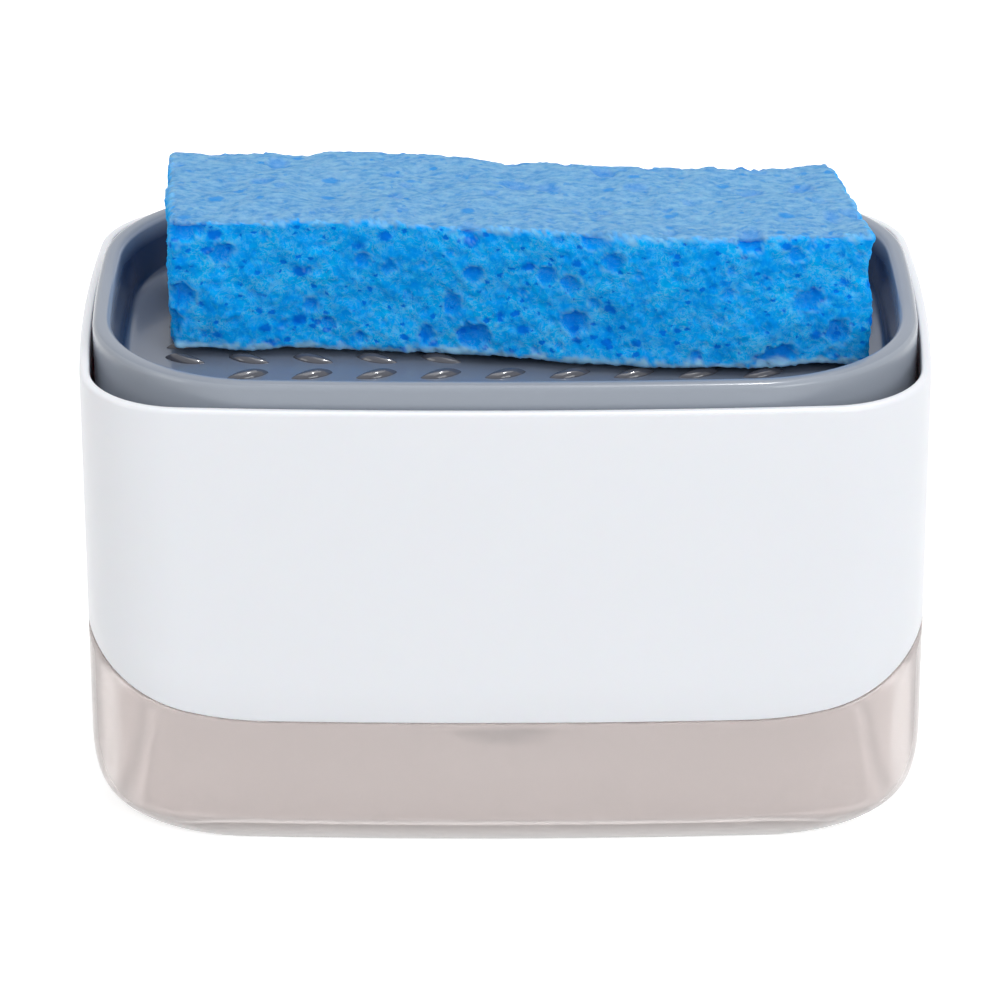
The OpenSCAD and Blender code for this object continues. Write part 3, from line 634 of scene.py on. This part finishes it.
def even_line(along, values):
    """The line through the values at KNOTS, averaged over 11 mm and read at each point's place."""
    places = np.linspace(KNOTS[0], KNOTS[-1], 121)
    line = np.pad(np.interp(places, KNOTS, values), 5, mode="edge")
    return np.interp(along, places, np.convolve(line, np.ones(11) / 11, mode="valid"))


def cut_by_hand(block):
    """The block as it lies on the tray: its ends slant, it bends by BEND, its back stands out by BACK,
    its front leans in by LEAN at the bottom, and the leaves press in by SPONGE_PRESS."""
    x, y, z = block.T
    share, slant = np.clip(x / SPONGE_W + 0.5, 0, 1), (y + SPONGE_D / 2) / SPONGE_D
    left, right = LEFT_OUT - LEFT_SLANT * slant, RIGHT_OUT - RIGHT_SLANT * slant
    along = x - (1 - share) * left + share * right
    bend, back, lean = (even_line(along, line) for line in (BEND, BACK, LEAN))
    drop = np.clip(0.5 - z / SPONGE_H, 0, 1)
    across = y + bend + back * slant - lean * (1 - slant) * drop**1.5
    x, y = rotated(along, across, math.radians(SPONGE_TURN))
    height = np.maximum(SPONGE_Z + SPONGE_H / 2 + z, WELL_FLOOR + LEAF_H - SPONGE_PRESS)
    return np.column_stack([SPONGE_X + x, SPONGE_Y + y, height])


def pore_colours(points, big, rim, skin_share):
    """Red is painted shade in a big pore, deeper with the dent, green the felted skin, and blue the pale
    frayed edge along the bottom, along the top and round the pores."""
    ragged = wave_sum(points, TEARS)
    low = np.clip((-points[:, 2] - SPONGE_H / 2 + 1.5 + ragged) / 0.8, 0, 1)
    high = 0.7 * np.clip((points[:, 2] - SPONGE_H / 2 + 0.8 + ragged) / 0.8, 0, 1) * (1 - skin_share)
    # Painted shade inside the big pores, deeper with the dent, less on the felted skin.
    pit = 0.75 * np.clip(big / 1.5, 0, 1) ** 0.8 * (1 - 0.5 * skin_share)
    frayed = np.maximum(np.maximum(low, high), 0.3 * rim * (big <= 0) * (1 - skin_share))
    return np.column_stack([pit, skin_share, frayed, np.ones(len(pit))])


def make_sponge():
    """The plain block with its lumps and its pores along its normals, then cut by hand."""
    piece = skin("Sponge", sponge_block(), closed=False)
    mesh = piece.data
    points, normals = np.empty(len(mesh.vertices) * 3), np.empty(len(mesh.vertices) * 3)
    mesh.vertices.foreach_get("co", points)
    mesh.vertices.foreach_get("normal", normals)
    points, normals = points.reshape(-1, 3) / MM, normals.reshape(-1, 3)
    skin_share = felted(points, normals)
    swell = swelling(points, normals, skin_share)
    big, rim = pores(points, count=300, small=0.7, large=2.5, depth=0.65, seed=7)
    fine = pores(points, count=2400, small=0.3, large=0.9, depth=0.5, seed=8)[0]
    dent = np.maximum(big, fine) * (1 - 0.6 * skin_share)
    placed = cut_by_hand(points + normals * (swell - dent)[:, None])
    mesh.vertices.foreach_set("co", (placed * MM).ravel())
    layer = mesh.color_attributes.new("pore", "FLOAT_COLOR", "POINT")
    layer.data.foreach_set("color", pore_colours(points, big, rim, skin_share).ravel())
    mesh.update()
    return piece


def ramp(material, fac, *stops):
    """A colour ramp through (position, colour) stops, driven by an output."""
    made = node(material, "ValToRGB", {"Fac": fac})
    elements = made.color_ramp.elements
    elements[0].position, elements[0].color = stops[0]
    elements[1].position, elements[1].color = stops[-1]
    for position, colour in stops[1:-1]:
        elements.new(position).color = colour
    return made.outputs["Color"]


def arithmetic(material, operation, first, second=0.0):
    """One step of arithmetic on two values, each a constant or an output."""
    return node(material, "Math", {0: first, 1: second}, operation=operation).outputs[0]


def open_cells(material, place, size, share):
    """Mouths of pores too small to model, for painted shade and a shallow dent: discs round the points
    of a Voronoi scatter, each with a radius of its own, up to that share of the cell's size."""
    spots = node(material, "TexVoronoi", {"Vector": place, "Scale": 1 / (size * MM)})
    chance = node(material, "SeparateColor", {"Color": spots.outputs["Color"]}).outputs["Red"]
    radius = arithmetic(material, "MULTIPLY", chance, share)
    within = arithmetic(material, "DIVIDE", spots.outputs["Distance"], radius)
    return stretched(material, within, 1.0, 0.6)


def threads(material, place, size, width):
    """Thin pale webs between the pores: where a noise of that size is within width of its middle."""
    web = noise(material, place, 1 / (size * MM), 3.0, roughness=0.55, distortion=1.2)
    offset = arithmetic(material, "SUBTRACT", web["Fac"], 0.5)
    return stretched(material, arithmetic(material, "ABSOLUTE", offset), width, width * 0.2)


def tinted(material, under, tint, share, strength=1.0):
    """A colour with that much of a tint over it wherever the share is 1."""
    if strength < 1.0:
        share = arithmetic(material, "MULTIPLY", share, strength)
    return blend(material, share, under, tint)


blue = finish("blue_cellulose", Roughness=0.9, Specular_IOR_Level=0.04, Subsurface_Weight=0.15,
              Subsurface_Scale=0.0015)
lying = node(blue, "TexCoord").outputs["Object"]
channels = node(blue, "SeparateColor",
                {"Color": node(blue, "VertexColor", layer_name="pore").outputs["Color"]}).outputs
fibre = noise(blue, lying, scale=1150.0, detail=5.0, roughness=0.66, distortion=0.7)
cloud = noise(blue, lying, scale=260.0, detail=5.0, roughness=0.65)["Fac"]
# The cells' pattern is bent a little by the fibres and is longer along the sponge.
sway = node(blue, "VectorMath", {0: fibre["Color"], "Scale": 0.0012}, operation="SCALE")
swayed = node(blue, "VectorMath", {0: lying, 1: sway.outputs["Vector"]}, operation="ADD")
cells = node(blue, "Mapping", {"Vector": swayed.outputs["Vector"], "Scale": (0.75, 1.0, 1.1)})
cells = cells.outputs["Vector"]
wide_holes, fine_holes = open_cells(blue, cells, 3.4, 0.36), open_cells(blue, cells, 1.6, 0.38)
holes = arithmetic(blue, "MAXIMUM", wide_holes, fine_holes)
flecks = stretched(blue, fibre["Fac"], 0.5, 0.68)
webs = arithmetic(blue, "MAXIMUM", threads(blue, cells, 3.2, 0.03), threads(blue, cells, 1.7, 0.035))
webs = arithmetic(blue, "MULTIPLY", webs, stretched(blue, cloud, 0.4, 0.6))
cut = ramp(blue, cloud, (0.34, srgb(0, 152, 250)), (0.5, srgb(0, 168, 255)), (0.68, srgb(0, 182, 255)))
cut = tinted(blue, cut, srgb(50, 194, 255), flecks, 0.7)
cut = tinted(blue, cut, srgb(140, 214, 255), webs, 0.4)
# Painted shade: the pore mouths are a darker blue.
cut = tinted(blue, cut, srgb(0, 124, 236), holes)
combed = node(blue, "Mapping", {"Vector": lying, "Scale": (0.55, 1.0, 1.0)}).outputs["Vector"]
nap = noise(blue, combed, scale=900.0, detail=6.0, roughness=0.66)["Fac"]
felt = ramp(blue, nap, (0.36, srgb(84, 150, 210)), (0.64, srgb(136, 186, 222)))
felt = tinted(blue, felt, srgb(150, 196, 226), flecks, 0.3)
# Painted shade in the pore mouths on the felted skin too.
felt = tinted(blue, felt, srgb(44, 142, 224), wide_holes, 0.75)
felt = tinted(blue, felt, srgb(50, 142, 220), fine_holes, 0.5)
cover = blend(blue, channels["Green"], cut, felt)
# Painted shade: a darker blue deep in the big pores.
cover = tinted(blue, cover, srgb(0, 126, 230), channels["Red"])
cover = tinted(blue, cover, srgb(150, 206, 242), channels["Blue"])
ridge = node(blue, "Bump", {"Height": fibre["Fac"], "Strength": 0.6, "Distance": 0.05 * MM})
pit = node(blue, "Bump", {"Height": holes, "Strength": 0.5, "Distance": -0.14 * MM,
                          "Normal": ridge.outputs["Normal"]})
feed(blue, "Base Color", cover)
feed(blue, "Normal", pit.outputs["Normal"])
sponge = make_sponge()
dress(sponge, "sponge", "blue_sponge", blue, "sponge")

# Pump deck: the white plate that closes the tank, one moulding with a round well in the middle that
# the barrel hangs in. It rests with its gasket on the sleeve's ledge.
DECK_TOP, DECK_T, DECK_INSET = 61.15, 2.4, 2.0
DECK_WELL_R, DECK_WELL_WALL, WELL_DECK, DECK_HOLE_R = 16.0, 2.4, 52.75, 9.8


def deck_loop(inset):
    """The plate's outline, drawn in by inset from its edge."""
    return outline(BODY_CORNER - DECK_INSET - inset, DECK_INSET + inset)


def deck_rows():
    """From the bore under the well outward, up the well, along the plate's underside, round its edge,
    back over its top and down into the well."""
    under, low, outer = WELL_DECK - DECK_T, DECK_TOP - DECK_T, DECK_WELL_R + DECK_WELL_WALL
    edge, top = deck_loop(0.6), deck_loop(1.0)
    hole, well = DECK_HOLE_R, DECK_WELL_R
    profile = [(hole + 0.2, under)] + eased(outer, under, (-0.5, 0), (-0.15, 0.15), (0, 0.5))
    rows = circles(edge, profile + eased(outer, low, (0, -1.0), (0.3, -0.3)))
    rows += toward_hole(edge, outer + 1.0, low, EVENLY[::-1])
    profile = eased(0, low, (0.3, 0.08), (0.08, 0.3), (0, 0.7))
    profile += eased(0, DECK_TOP, (0, -0.8), (0.1, -0.35), (0.35, -0.1), (0.8, 0))
    rows += layers(deck_loop, profile) + toward_hole(top, well + 0.8, DECK_TOP, EVENLY)
    profile = eased(well, DECK_TOP, (0.25, -0.1), (0, -0.5))
    profile += eased(well, WELL_DECK, (0, 0.8), (-0.25, 0.25), (-0.8, 0))
    profile += eased(hole, WELL_DECK, (0.2, 0), (0, -0.2))
    return rows + circles(top, profile + [(hole, under + 0.2)])


plate = moulded("deck_white", 0.42, bump=0.004, Base_Color=srgb(226, 227, 230))
dress(skin("Deck_plate", deck_rows()), "pump_unit", "deck_plastic", plate, "deck_plate")

# Deck gasket: a soft black rubber ring under the plate's edge, flat with eased corners. It is cut
# from sheet, and the plate's weight presses it onto the sleeve's ledge.
GASKET_LOW, GASKET_T, GASKET_W = 57.55, 1.2, 2.6


def gasket_rows():
    """Up the outer edge, in over the top, down the inner edge and back underneath."""
    top = GASKET_LOW + GASKET_T
    profile = eased(0, GASKET_LOW, (0.25, 0), (0.05, 0.1), (0, 0.3))
    profile += eased(0, top, (0, -0.3), (0.05, -0.1), (0.25, 0))
    profile += eased(GASKET_W, top, (-0.2, 0), (0, -0.2))
    return layers(deck_loop, profile + eased(GASKET_W, GASKET_LOW, (0, 0.2), (-0.2, 0)))


rubber = moulded("gasket_rubber", 0.62, grain=0.5, bump=0.006, Base_Color=srgb(70, 72, 75))
dress(skin("Deck_gasket", gasket_rows()), "pump_unit", "dark_rubber", rubber, "deck_gasket")

# Pump barrel: a straight white tube with a flange on top and a rounded thread for its nut below
# the deck. Injection moulded; it drops through the deck and its foot stands over the tank's floor.
BARREL_R, BARREL_BORE, BARREL_LOW, BARREL_TOP = 9.6, 8.0, 4.6, 55.75
FLANGE_R, FLANGE_LOW, AROUND = 13.2, 53.75, 96
THREAD_LOW, THREAD_HIGH, THREAD_PITCH, THREAD_DEPTH = 38.0, 52.0, 2.0, 0.35


def compass():
    """Angles all the way round, and the directions they point in."""
    t = np.arange(AROUND) * 2 * np.pi / AROUND
    return t, directions(t)


def turned(profile):
    """Rows of circles through [radius, height]. The radius may be one number for each point."""
    way = compass()[1]
    return [row(way * np.reshape(r, (-1, 1)), z) for r, z in profile]


def barrel_rows():
    """The thread is a groove that sinks by half a cosine wave over each pitch and climbs one pitch
    a turn. It fades out over the first and last pitch."""
    profile = eased(BARREL_R, BARREL_LOW, (-0.3, 0), (-0.08, 0.1), (0, 0.4))
    profile += [(BARREL_R, 20.0), (BARREL_R, THREAD_LOW - 0.2)]
    turn = np.arange(AROUND) / AROUND
    for z in np.arange(THREAD_LOW, THREAD_HIGH, THREAD_PITCH / 10):
        fade = min(1.0, (z - THREAD_LOW) / THREAD_PITCH, (THREAD_HIGH - z) / THREAD_PITCH)
        wave = 0.5 - 0.5 * np.cos(2 * np.pi * (z / THREAD_PITCH - turn))
        profile.append((BARREL_R - THREAD_DEPTH * fade * wave, z))
    profile += [(BARREL_R, THREAD_HIGH), (BARREL_R, FLANGE_LOW)]
    profile += eased(FLANGE_R, FLANGE_LOW, (-0.3, 0), (-0.05, 0.1), (0, 0.35))
    profile += eased(FLANGE_R, BARREL_TOP, (0, -0.35), (-0.1, -0.1), (-0.35, 0))
    profile += eased(BARREL_BORE, BARREL_TOP, (0.2, 0), (0, -0.2)) + [(BARREL_BORE, 30.0)]
    return turned(profile + eased(BARREL_BORE, BARREL_LOW, (0, 0.2), (0.2, 0)))


tube = moulded("barrel_white", 0.3, Base_Color=srgb(228, 229, 231))
dress(skin("Pump_barrel", barrel_rows()), "pump_unit", "pump_plastic", tube, "pump_barrel")

# Barrel nut: the white ring under the deck that clamps the barrel, with ten thumb notches moulded
# into its rim.
NUT_R, NUT_BORE, NUT_LOW, NUT_TOP = 13.8, 9.65, 46.35, 50.35
NOTCHES, NOTCH_DEPTH, NOTCH_SHARE = 10, 1.0, 0.16


def nut_rows():
    """The rim sinks by a rounded bite, the square of a cosine, NOTCHES times around."""
    t = np.arange(AROUND * 1.0) / AROUND * NOTCHES
    bite = np.clip(np.abs((t + 0.5) % 1 - 0.5) / NOTCH_SHARE, 0, 1)
    rim = NUT_R - NOTCH_DEPTH * np.cos(bite * np.pi / 2) ** 2
    profile = [(NUT_BORE + 0.3, NUT_LOW)] + eased(rim, NUT_LOW, (-0.4, 0), (-0.1, 0.1), (0, 0.4))
    profile += eased(rim, NUT_TOP, (0, -0.4), (-0.1, -0.1), (-0.4, 0))
    profile += eased(NUT_BORE, NUT_TOP, (0.3, 0), (0, -0.3))
    return turned(profile + [(NUT_BORE, NUT_LOW + 0.3)])


nut_white = moulded("nut_white", 0.38, bump=0.004, Base_Color=srgb(212, 214, 218))
dress(skin("Barrel_nut", nut_rows()), "pump_unit", "pump_plastic", nut_white, "barrel_nut")

# Guide cap: closes the barrel and guides the stem. Grey moulding with a plug that goes into the
# bore and a fine grip on its brim.
CAP_R, CAP_TOP, CAP_PLUG_R, CAP_PLUG_LOW, CAP_BORE = 10.5, 56.95, 7.95, 51.75, 3.65
GRIP, GRIP_DEPTH = 24, 0.25


def cap_rows():
    """The brim's rim ripples GRIP times around, by a cosine that sinks GRIP_DEPTH deep."""
    rim = CAP_R - GRIP_DEPTH * (0.5 - 0.5 * np.cos(GRIP * compass()[0]))
    profile = [(CAP_BORE + 0.2, CAP_PLUG_LOW)] + eased(CAP_PLUG_R, CAP_PLUG_LOW, (-0.3, 0), (0, 0.3))
    profile += [(CAP_PLUG_R, BARREL_TOP)] + eased(rim, BARREL_TOP, (-0.15, 0), (0, 0.15))
    profile += eased(rim, CAP_TOP, (0, -0.35), (-0.12, -0.1), (-0.4, 0))
    profile += eased(CAP_BORE, CAP_TOP, (0.3, 0), (0, -0.3))
    return turned(profile + [(CAP_BORE, CAP_PLUG_LOW + 0.2)])


cap = moulded("cap_grey", 0.28, Base_Color=srgb(150, 156, 168))
dress(skin("Guide_cap", cap_rows()), "pump_unit", "grey_plastic", cap, "guide_cap")

# Inlet foot: the white cup pressed onto the barrel's lower end. Crossed slots under it let the soap
# in to the hole in the middle.
FOOT_R, FOOT_LOW, FOOT_T, SOCKET_R, SOCKET_TOP = 12.1, 2.8, 1.8, 11.25, 9.6
INLET_HOLE, SLOT_W, SLOT_H, SLOT_EASE, SOCKET_BORE = 2.2, 3.2, 1.0, 0.15, 9.65


def foot_rows():
    """The underside is lifted by SLOT_H wherever a point lies within half a slot's width of one of
    the two diagonals; the lift falls off over SLOT_EASE."""
    way, rows = compass()[1], []
    off = np.minimum(np.abs(way[:, 0] - way[:, 1]), np.abs(way[:, 0] + way[:, 1]))
    for r in (INLET_HOLE, *np.arange(2.6, FOOT_R - 0.2, 0.5), FOOT_R - 0.2, FOOT_R):
        lift = SLOT_H * np.clip((SLOT_W / 2 - off * r / math.sqrt(2)) / SLOT_EASE, 0, 1)
        ease = 0.2 if r == FOOT_R else 0.0
        rows.append(np.column_stack([way * r, FOOT_LOW + np.maximum(lift, ease)]))
    rim = FOOT_LOW + FOOT_T
    profile = eased(FOOT_R, rim, (0, -0.3), (-0.3, 0)) + eased(SOCKET_R, rim, (0.2, 0), (0, 0.2))
    profile += eased(SOCKET_R, SOCKET_TOP, (0, -0.4), (-0.4, 0))
    profile += eased(SOCKET_BORE, SOCKET_TOP, (0.3, 0), (0, -0.3))
    return rows + turned(profile + [(SOCKET_BORE, rim), (INLET_HOLE, rim)])


cup = moulded("foot_white", 0.35, Base_Color=srgb(222, 223, 224))
dress(skin("Inlet_foot", foot_rows()), "pump_unit", "pump_plastic", cup, "inlet_foot")

# Pump head: the grey hub under the tray that takes the stem from below and the nozzle from above.
# Moulded like the tray, it presses onto the stem's end, and soap passes through its chamber.
HEAD_R, HEAD_LOW, HEAD_TOP, STEM_BORE, STEM_END = 9.0, 61.35, 68.1, 3.65, 65.4
CHAMBER_R, PLUG_BORE, PLUG_LOW = 2.6, 4.95, 66.35
head = [(STEM_BORE + 0.3, HEAD_LOW)] + eased(HEAD_R, HEAD_LOW, (-0.5, 0), (-0.12, 0.15), (0, 0.5))
head += eased(HEAD_R, HEAD_TOP, (0, -0.2), (-0.2, 0))
head += [(PLUG_BORE, HEAD_TOP), (PLUG_BORE, PLUG_LOW), (CHAMBER_R, PLUG_LOW), (CHAMBER_R, STEM_END)]
head += [(STEM_BORE, STEM_END), (STEM_BORE, HEAD_LOW + 0.3)]
hub = moulded("head_grey", 0.28, Base_Color=srgb(140, 146, 158))
dress(skin("Pump_head", turned(head)), "press_top", "grey_plastic", hub, "pump_head")

# Outlet nozzle: the grey button in the middle of the well that the soap comes out of, low and
# domed, with a dished mouth. Its plug goes down through the tray into the head.
NOZZLE_R, NOZZLE_TOP, NOZZLE_PLUG_R, NOZZLE_LOW = 6.5, 71.0, 4.9, 66.35
NOZZLE_HOLE, MOUTH_R, NOZZLE_EASE, CHAMBER_TOP = 0.9, 2.4, 0.25, 70.2


def nozzle_rows(steps=8):
    """The dome is a quarter ellipse from the rim, NOZZLE_EASE over the floor, to the dished mouth,
    MOUTH_R from the middle."""
    foot = WELL_FLOOR + NOZZLE_EASE
    rise = NOZZLE_TOP - WELL_FLOOR - NOZZLE_EASE
    t = np.radians(np.linspace(0, 90, steps + 1))
    dome = [(MOUTH_R + (NOZZLE_R - MOUTH_R) * math.cos(a), foot + rise * math.sin(a)) for a in t]
    mouth = [(1.7, NOZZLE_TOP - 0.12), (1.1, NOZZLE_TOP - 0.35), (NOZZLE_HOLE, NOZZLE_TOP - 0.5)]
    plug = [(CHAMBER_R, NOZZLE_LOW)] + eased(NOZZLE_PLUG_R, NOZZLE_LOW, (-0.3, 0), (0, 0.3))
    plug += [(NOZZLE_PLUG_R, WELL_FLOOR), (NOZZLE_R - 0.1, WELL_FLOOR)]
    return turned(plug + dome + mouth + [(NOZZLE_HOLE, CHAMBER_TOP), (CHAMBER_R, CHAMBER_TOP - 0.1)])


button = moulded("nozzle_grey", 0.22, 0.04, bump=0.002, Base_Color=srgb(112, 120, 134))
dress(skin("Outlet_nozzle", nozzle_rows()), "press_top", "grey_plastic", button, "outlet_nozzle")

# Return spring: a steel coil of eight even curls that stands on the cage in the barrel and pushes
# the piston up. In the pump it closes up by the tray's stroke; here it keeps its full length.
SPRING_R, SPRING_WIRE, SPRING_CURLS = 6.3, 0.9, 8
SPRING_FOOT, SPRING_L, SPRING_GAP, TRAY_STROKE = 8.9, 17.0, 0.05, 4.0


def spring_rows(steps=36, sides=12):
    """Rings of the wire's round section, upright and in line with the axis, along a helix that
    climbs evenly from the cage to the piston."""
    turn = np.linspace(0, SPRING_CURLS * 2 * np.pi, SPRING_CURLS * steps + 1)[:, None]
    round_wire = np.linspace(0, 2 * np.pi, sides, endpoint=False)
    reach = SPRING_R + SPRING_WIRE / 2 * np.cos(round_wire)
    climb = (SPRING_L - SPRING_WIRE - 2 * SPRING_GAP) * turn / turn.max()
    height = SPRING_FOOT + SPRING_GAP + SPRING_WIRE / 2 + climb - SPRING_WIRE / 2 * np.sin(round_wire)
    return np.stack([reach * np.cos(turn), reach * np.sin(turn), height], axis=-1)


wire = moulded("spring_steel", 0.26, bump=0.004, Base_Color=srgb(186, 188, 192), Metallic=1.0)
spring = skin("Return_spring", spring_rows(), closed=False)
dress(spring, "pump_unit", "steel", wire, "return_spring")
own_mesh(spring)

# Pump parts that keep their turned and moulded solids: they are inside the barrel, head and foot.
# Stem, seats, cage and piston in natural white, washers and seals in black rubber, steel balls.
# Only their finish is set.
FINISHES = {
    "inlet_seat": ("seat_white", (216, 217, 220), 0.35),
    "ball_cage": ("cage_white", (218, 219, 222), 0.35),
    "piston": ("piston_white", (220, 221, 224), 0.32),
    "pump_stem": ("stem_white", (226, 227, 230), 0.22),
    "barrel_gasket": ("washer_rubber", (66, 68, 71), 0.62),
    "stem_wiper": ("wiper_rubber", (62, 64, 67), 0.55),
    "piston_seal": ("seal_rubber", (62, 64, 67), 0.5),
    "nozzle_seal": ("ring_rubber", (64, 66, 69), 0.58),
    "inlet_ball": ("inlet_steel", (200, 202, 205), 0.18),
    "outlet_ball": ("outlet_steel", (200, 202, 205), 0.18),
}
for part, (label, tone, rough) in FINISHES.items():
    metal = 1.0 if "steel" in label else 0.0
    coat = moulded(label, rough, bump=0.004, Base_Color=srgb(*tone), Metallic=metal)
    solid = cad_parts[part]
    solid.data.materials.clear()
    solid.data.materials.append(coat)

# Floor and light: a white sweep that runs on into the white world, wide soft lamps above, in front
# and at the left, and a small one above that only puts the fine highlights on rims and leaves.
FLOOR_SIZE, FLOOR_GLOW, GLASS_GLOW = 6000.0, 0.6, 0.3
WORLD_LIGHT, WORLD_SEEN, LAMP_TARGET = 0.5, 1.0, (0, 0, 0.05)


def seen_rays(owner, rays):
    """1 for the rays that show the background itself, straight, in gloss or through the clear tank,
    and 0 for those that only carry its light."""
    plain = arithmetic(owner, "MAXIMUM", rays["Is Camera Ray"], rays["Is Glossy Ray"])
    return arithmetic(owner, "MAXIMUM", plain, rays["Is Transmission Ray"])


backdrop = finish("white_sweep", Base_Color=(0.76, 0.76, 0.76, 1.0), Roughness=0.9)
matt = shader_of(backdrop).outputs[0]
rays = node(backdrop, "LightPath").outputs
glow = node(backdrop, "Math", {0: rays["Is Transmission Ray"], 1: GLASS_GLOW, 2: FLOOR_GLOW},
            operation="MULTIPLY_ADD")
lit = node(backdrop, "Emission", {"Color": (1, 1, 1, 1), "Strength": glow.outputs[0]})
lift = node(backdrop, "AddShader", {0: matt, 1: lit.outputs[0]})
shown = node(backdrop, "MixShader", {0: seen_rays(backdrop, rays), 1: matt, 2: lift.outputs[0]})
surface = next(n for n in backdrop.node_tree.nodes if n.type == "OUTPUT_MATERIAL").inputs["Surface"]
backdrop.node_tree.links.new(shown.outputs[0], surface)
corners = np.array([(-1, -1, 0), (1, -1, 0), (1, 1, 0), (-1, 1, 0)]) * FLOOR_SIZE / 2
floor = as_piece("Floor", corners, [(0, 1, 2, 3)], smooth=False)
floor.data.materials.append(backdrop)

world = bpy.data.worlds.new("Studio")
bpy.context.scene.world = world
world.use_nodes = True
sky = world.node_tree.nodes["Background"]
sky.inputs["Color"].default_value = (1.0, 1.0, 1.0, 1.0)
seen = seen_rays(world, node(world, "LightPath").outputs)
level = stretched(world, seen, 0.0, 1.0, WORLD_LIGHT, WORLD_SEEN)
world.node_tree.links.new(level, sky.inputs["Strength"])


def lamp(name, place, size, power, colour=(1.0, 1.0, 1.0)):
    """A square soft lamp of this size in metres that looks at the caddy's middle."""
    light = bpy.data.lights.new(name, "AREA")
    light.shape, light.size, light.energy, light.color = "SQUARE", size, power, colour
    holder = in_scene(name, light)
    holder.location = place
    holder.rotation_euler = (Vector(LAMP_TARGET) - Vector(place)).to_track_quat("-Z", "Y").to_euler()
    return holder


lamp("Top_lamp", (0.15, 0.1, 1.1), size=0.8, power=4.5)
lamp("Front_lamp", (0.75, -1.15, 0.7), size=0.7, power=7.2, colour=(0.96, 0.985, 1.0))
lamp("Left_lamp", (-1.2, -0.5, 0.6), size=0.6, power=2.6, colour=(1.0, 0.98, 0.95))
spark = lamp("Spark_lamp", (0.2, 0.0, 1.3), size=0.04, power=7.0)
spark.visible_diffuse = False

# Camera: where the photograph's outlines put it, 850 mm from the body's middle and 25 degrees up,
# with a long lens.
CAMERA_D, CAMERA_UP, CAMERA_TURN, CAMERA_ROLL = 850.0, 25.134, -0.160, -0.085
CAMERA_F, CAMERA_X, CAMERA_Z = 5202.984, -0.818, 41.065
SENSOR = 36.0


def place_camera():
    """Looks from that distance, elevation and turn at the point (x, 0, z). The focal length, in pixels
    of a frame of 1000, becomes millimetres on the sensor."""
    up, turn, roll = (math.radians(a) for a in (CAMERA_UP, CAMERA_TURN, CAMERA_ROLL))
    back = Vector((math.sin(turn) * math.cos(up), -math.cos(turn) * math.cos(up), math.sin(up)))
    right = (-back).cross(Vector((0, 0, 1))).normalized()
    above = right.cross(-back)
    right, above = (right * math.cos(roll) + above * math.sin(roll),
                    above * math.cos(roll) - right * math.sin(roll))
    eye = (Vector((CAMERA_X, 0, CAMERA_Z)) + back * CAMERA_D) * MM
    data = bpy.data.cameras.new("Camera")
    data.sensor_fit, data.sensor_width = "HORIZONTAL", SENSOR
    data.lens = CAMERA_F / 1000 * SENSOR
    data.clip_start, data.clip_end = 0.05, 20.0
    holder = in_scene("Camera", data)
    pose = Matrix((right, above, back)).transposed().to_4x4()
    pose.translation = eye
    holder.matrix_world = pose
    bpy.context.scene.camera = holder


place_camera()
bpy.context.scene.view_settings.view_transform = "Standard"
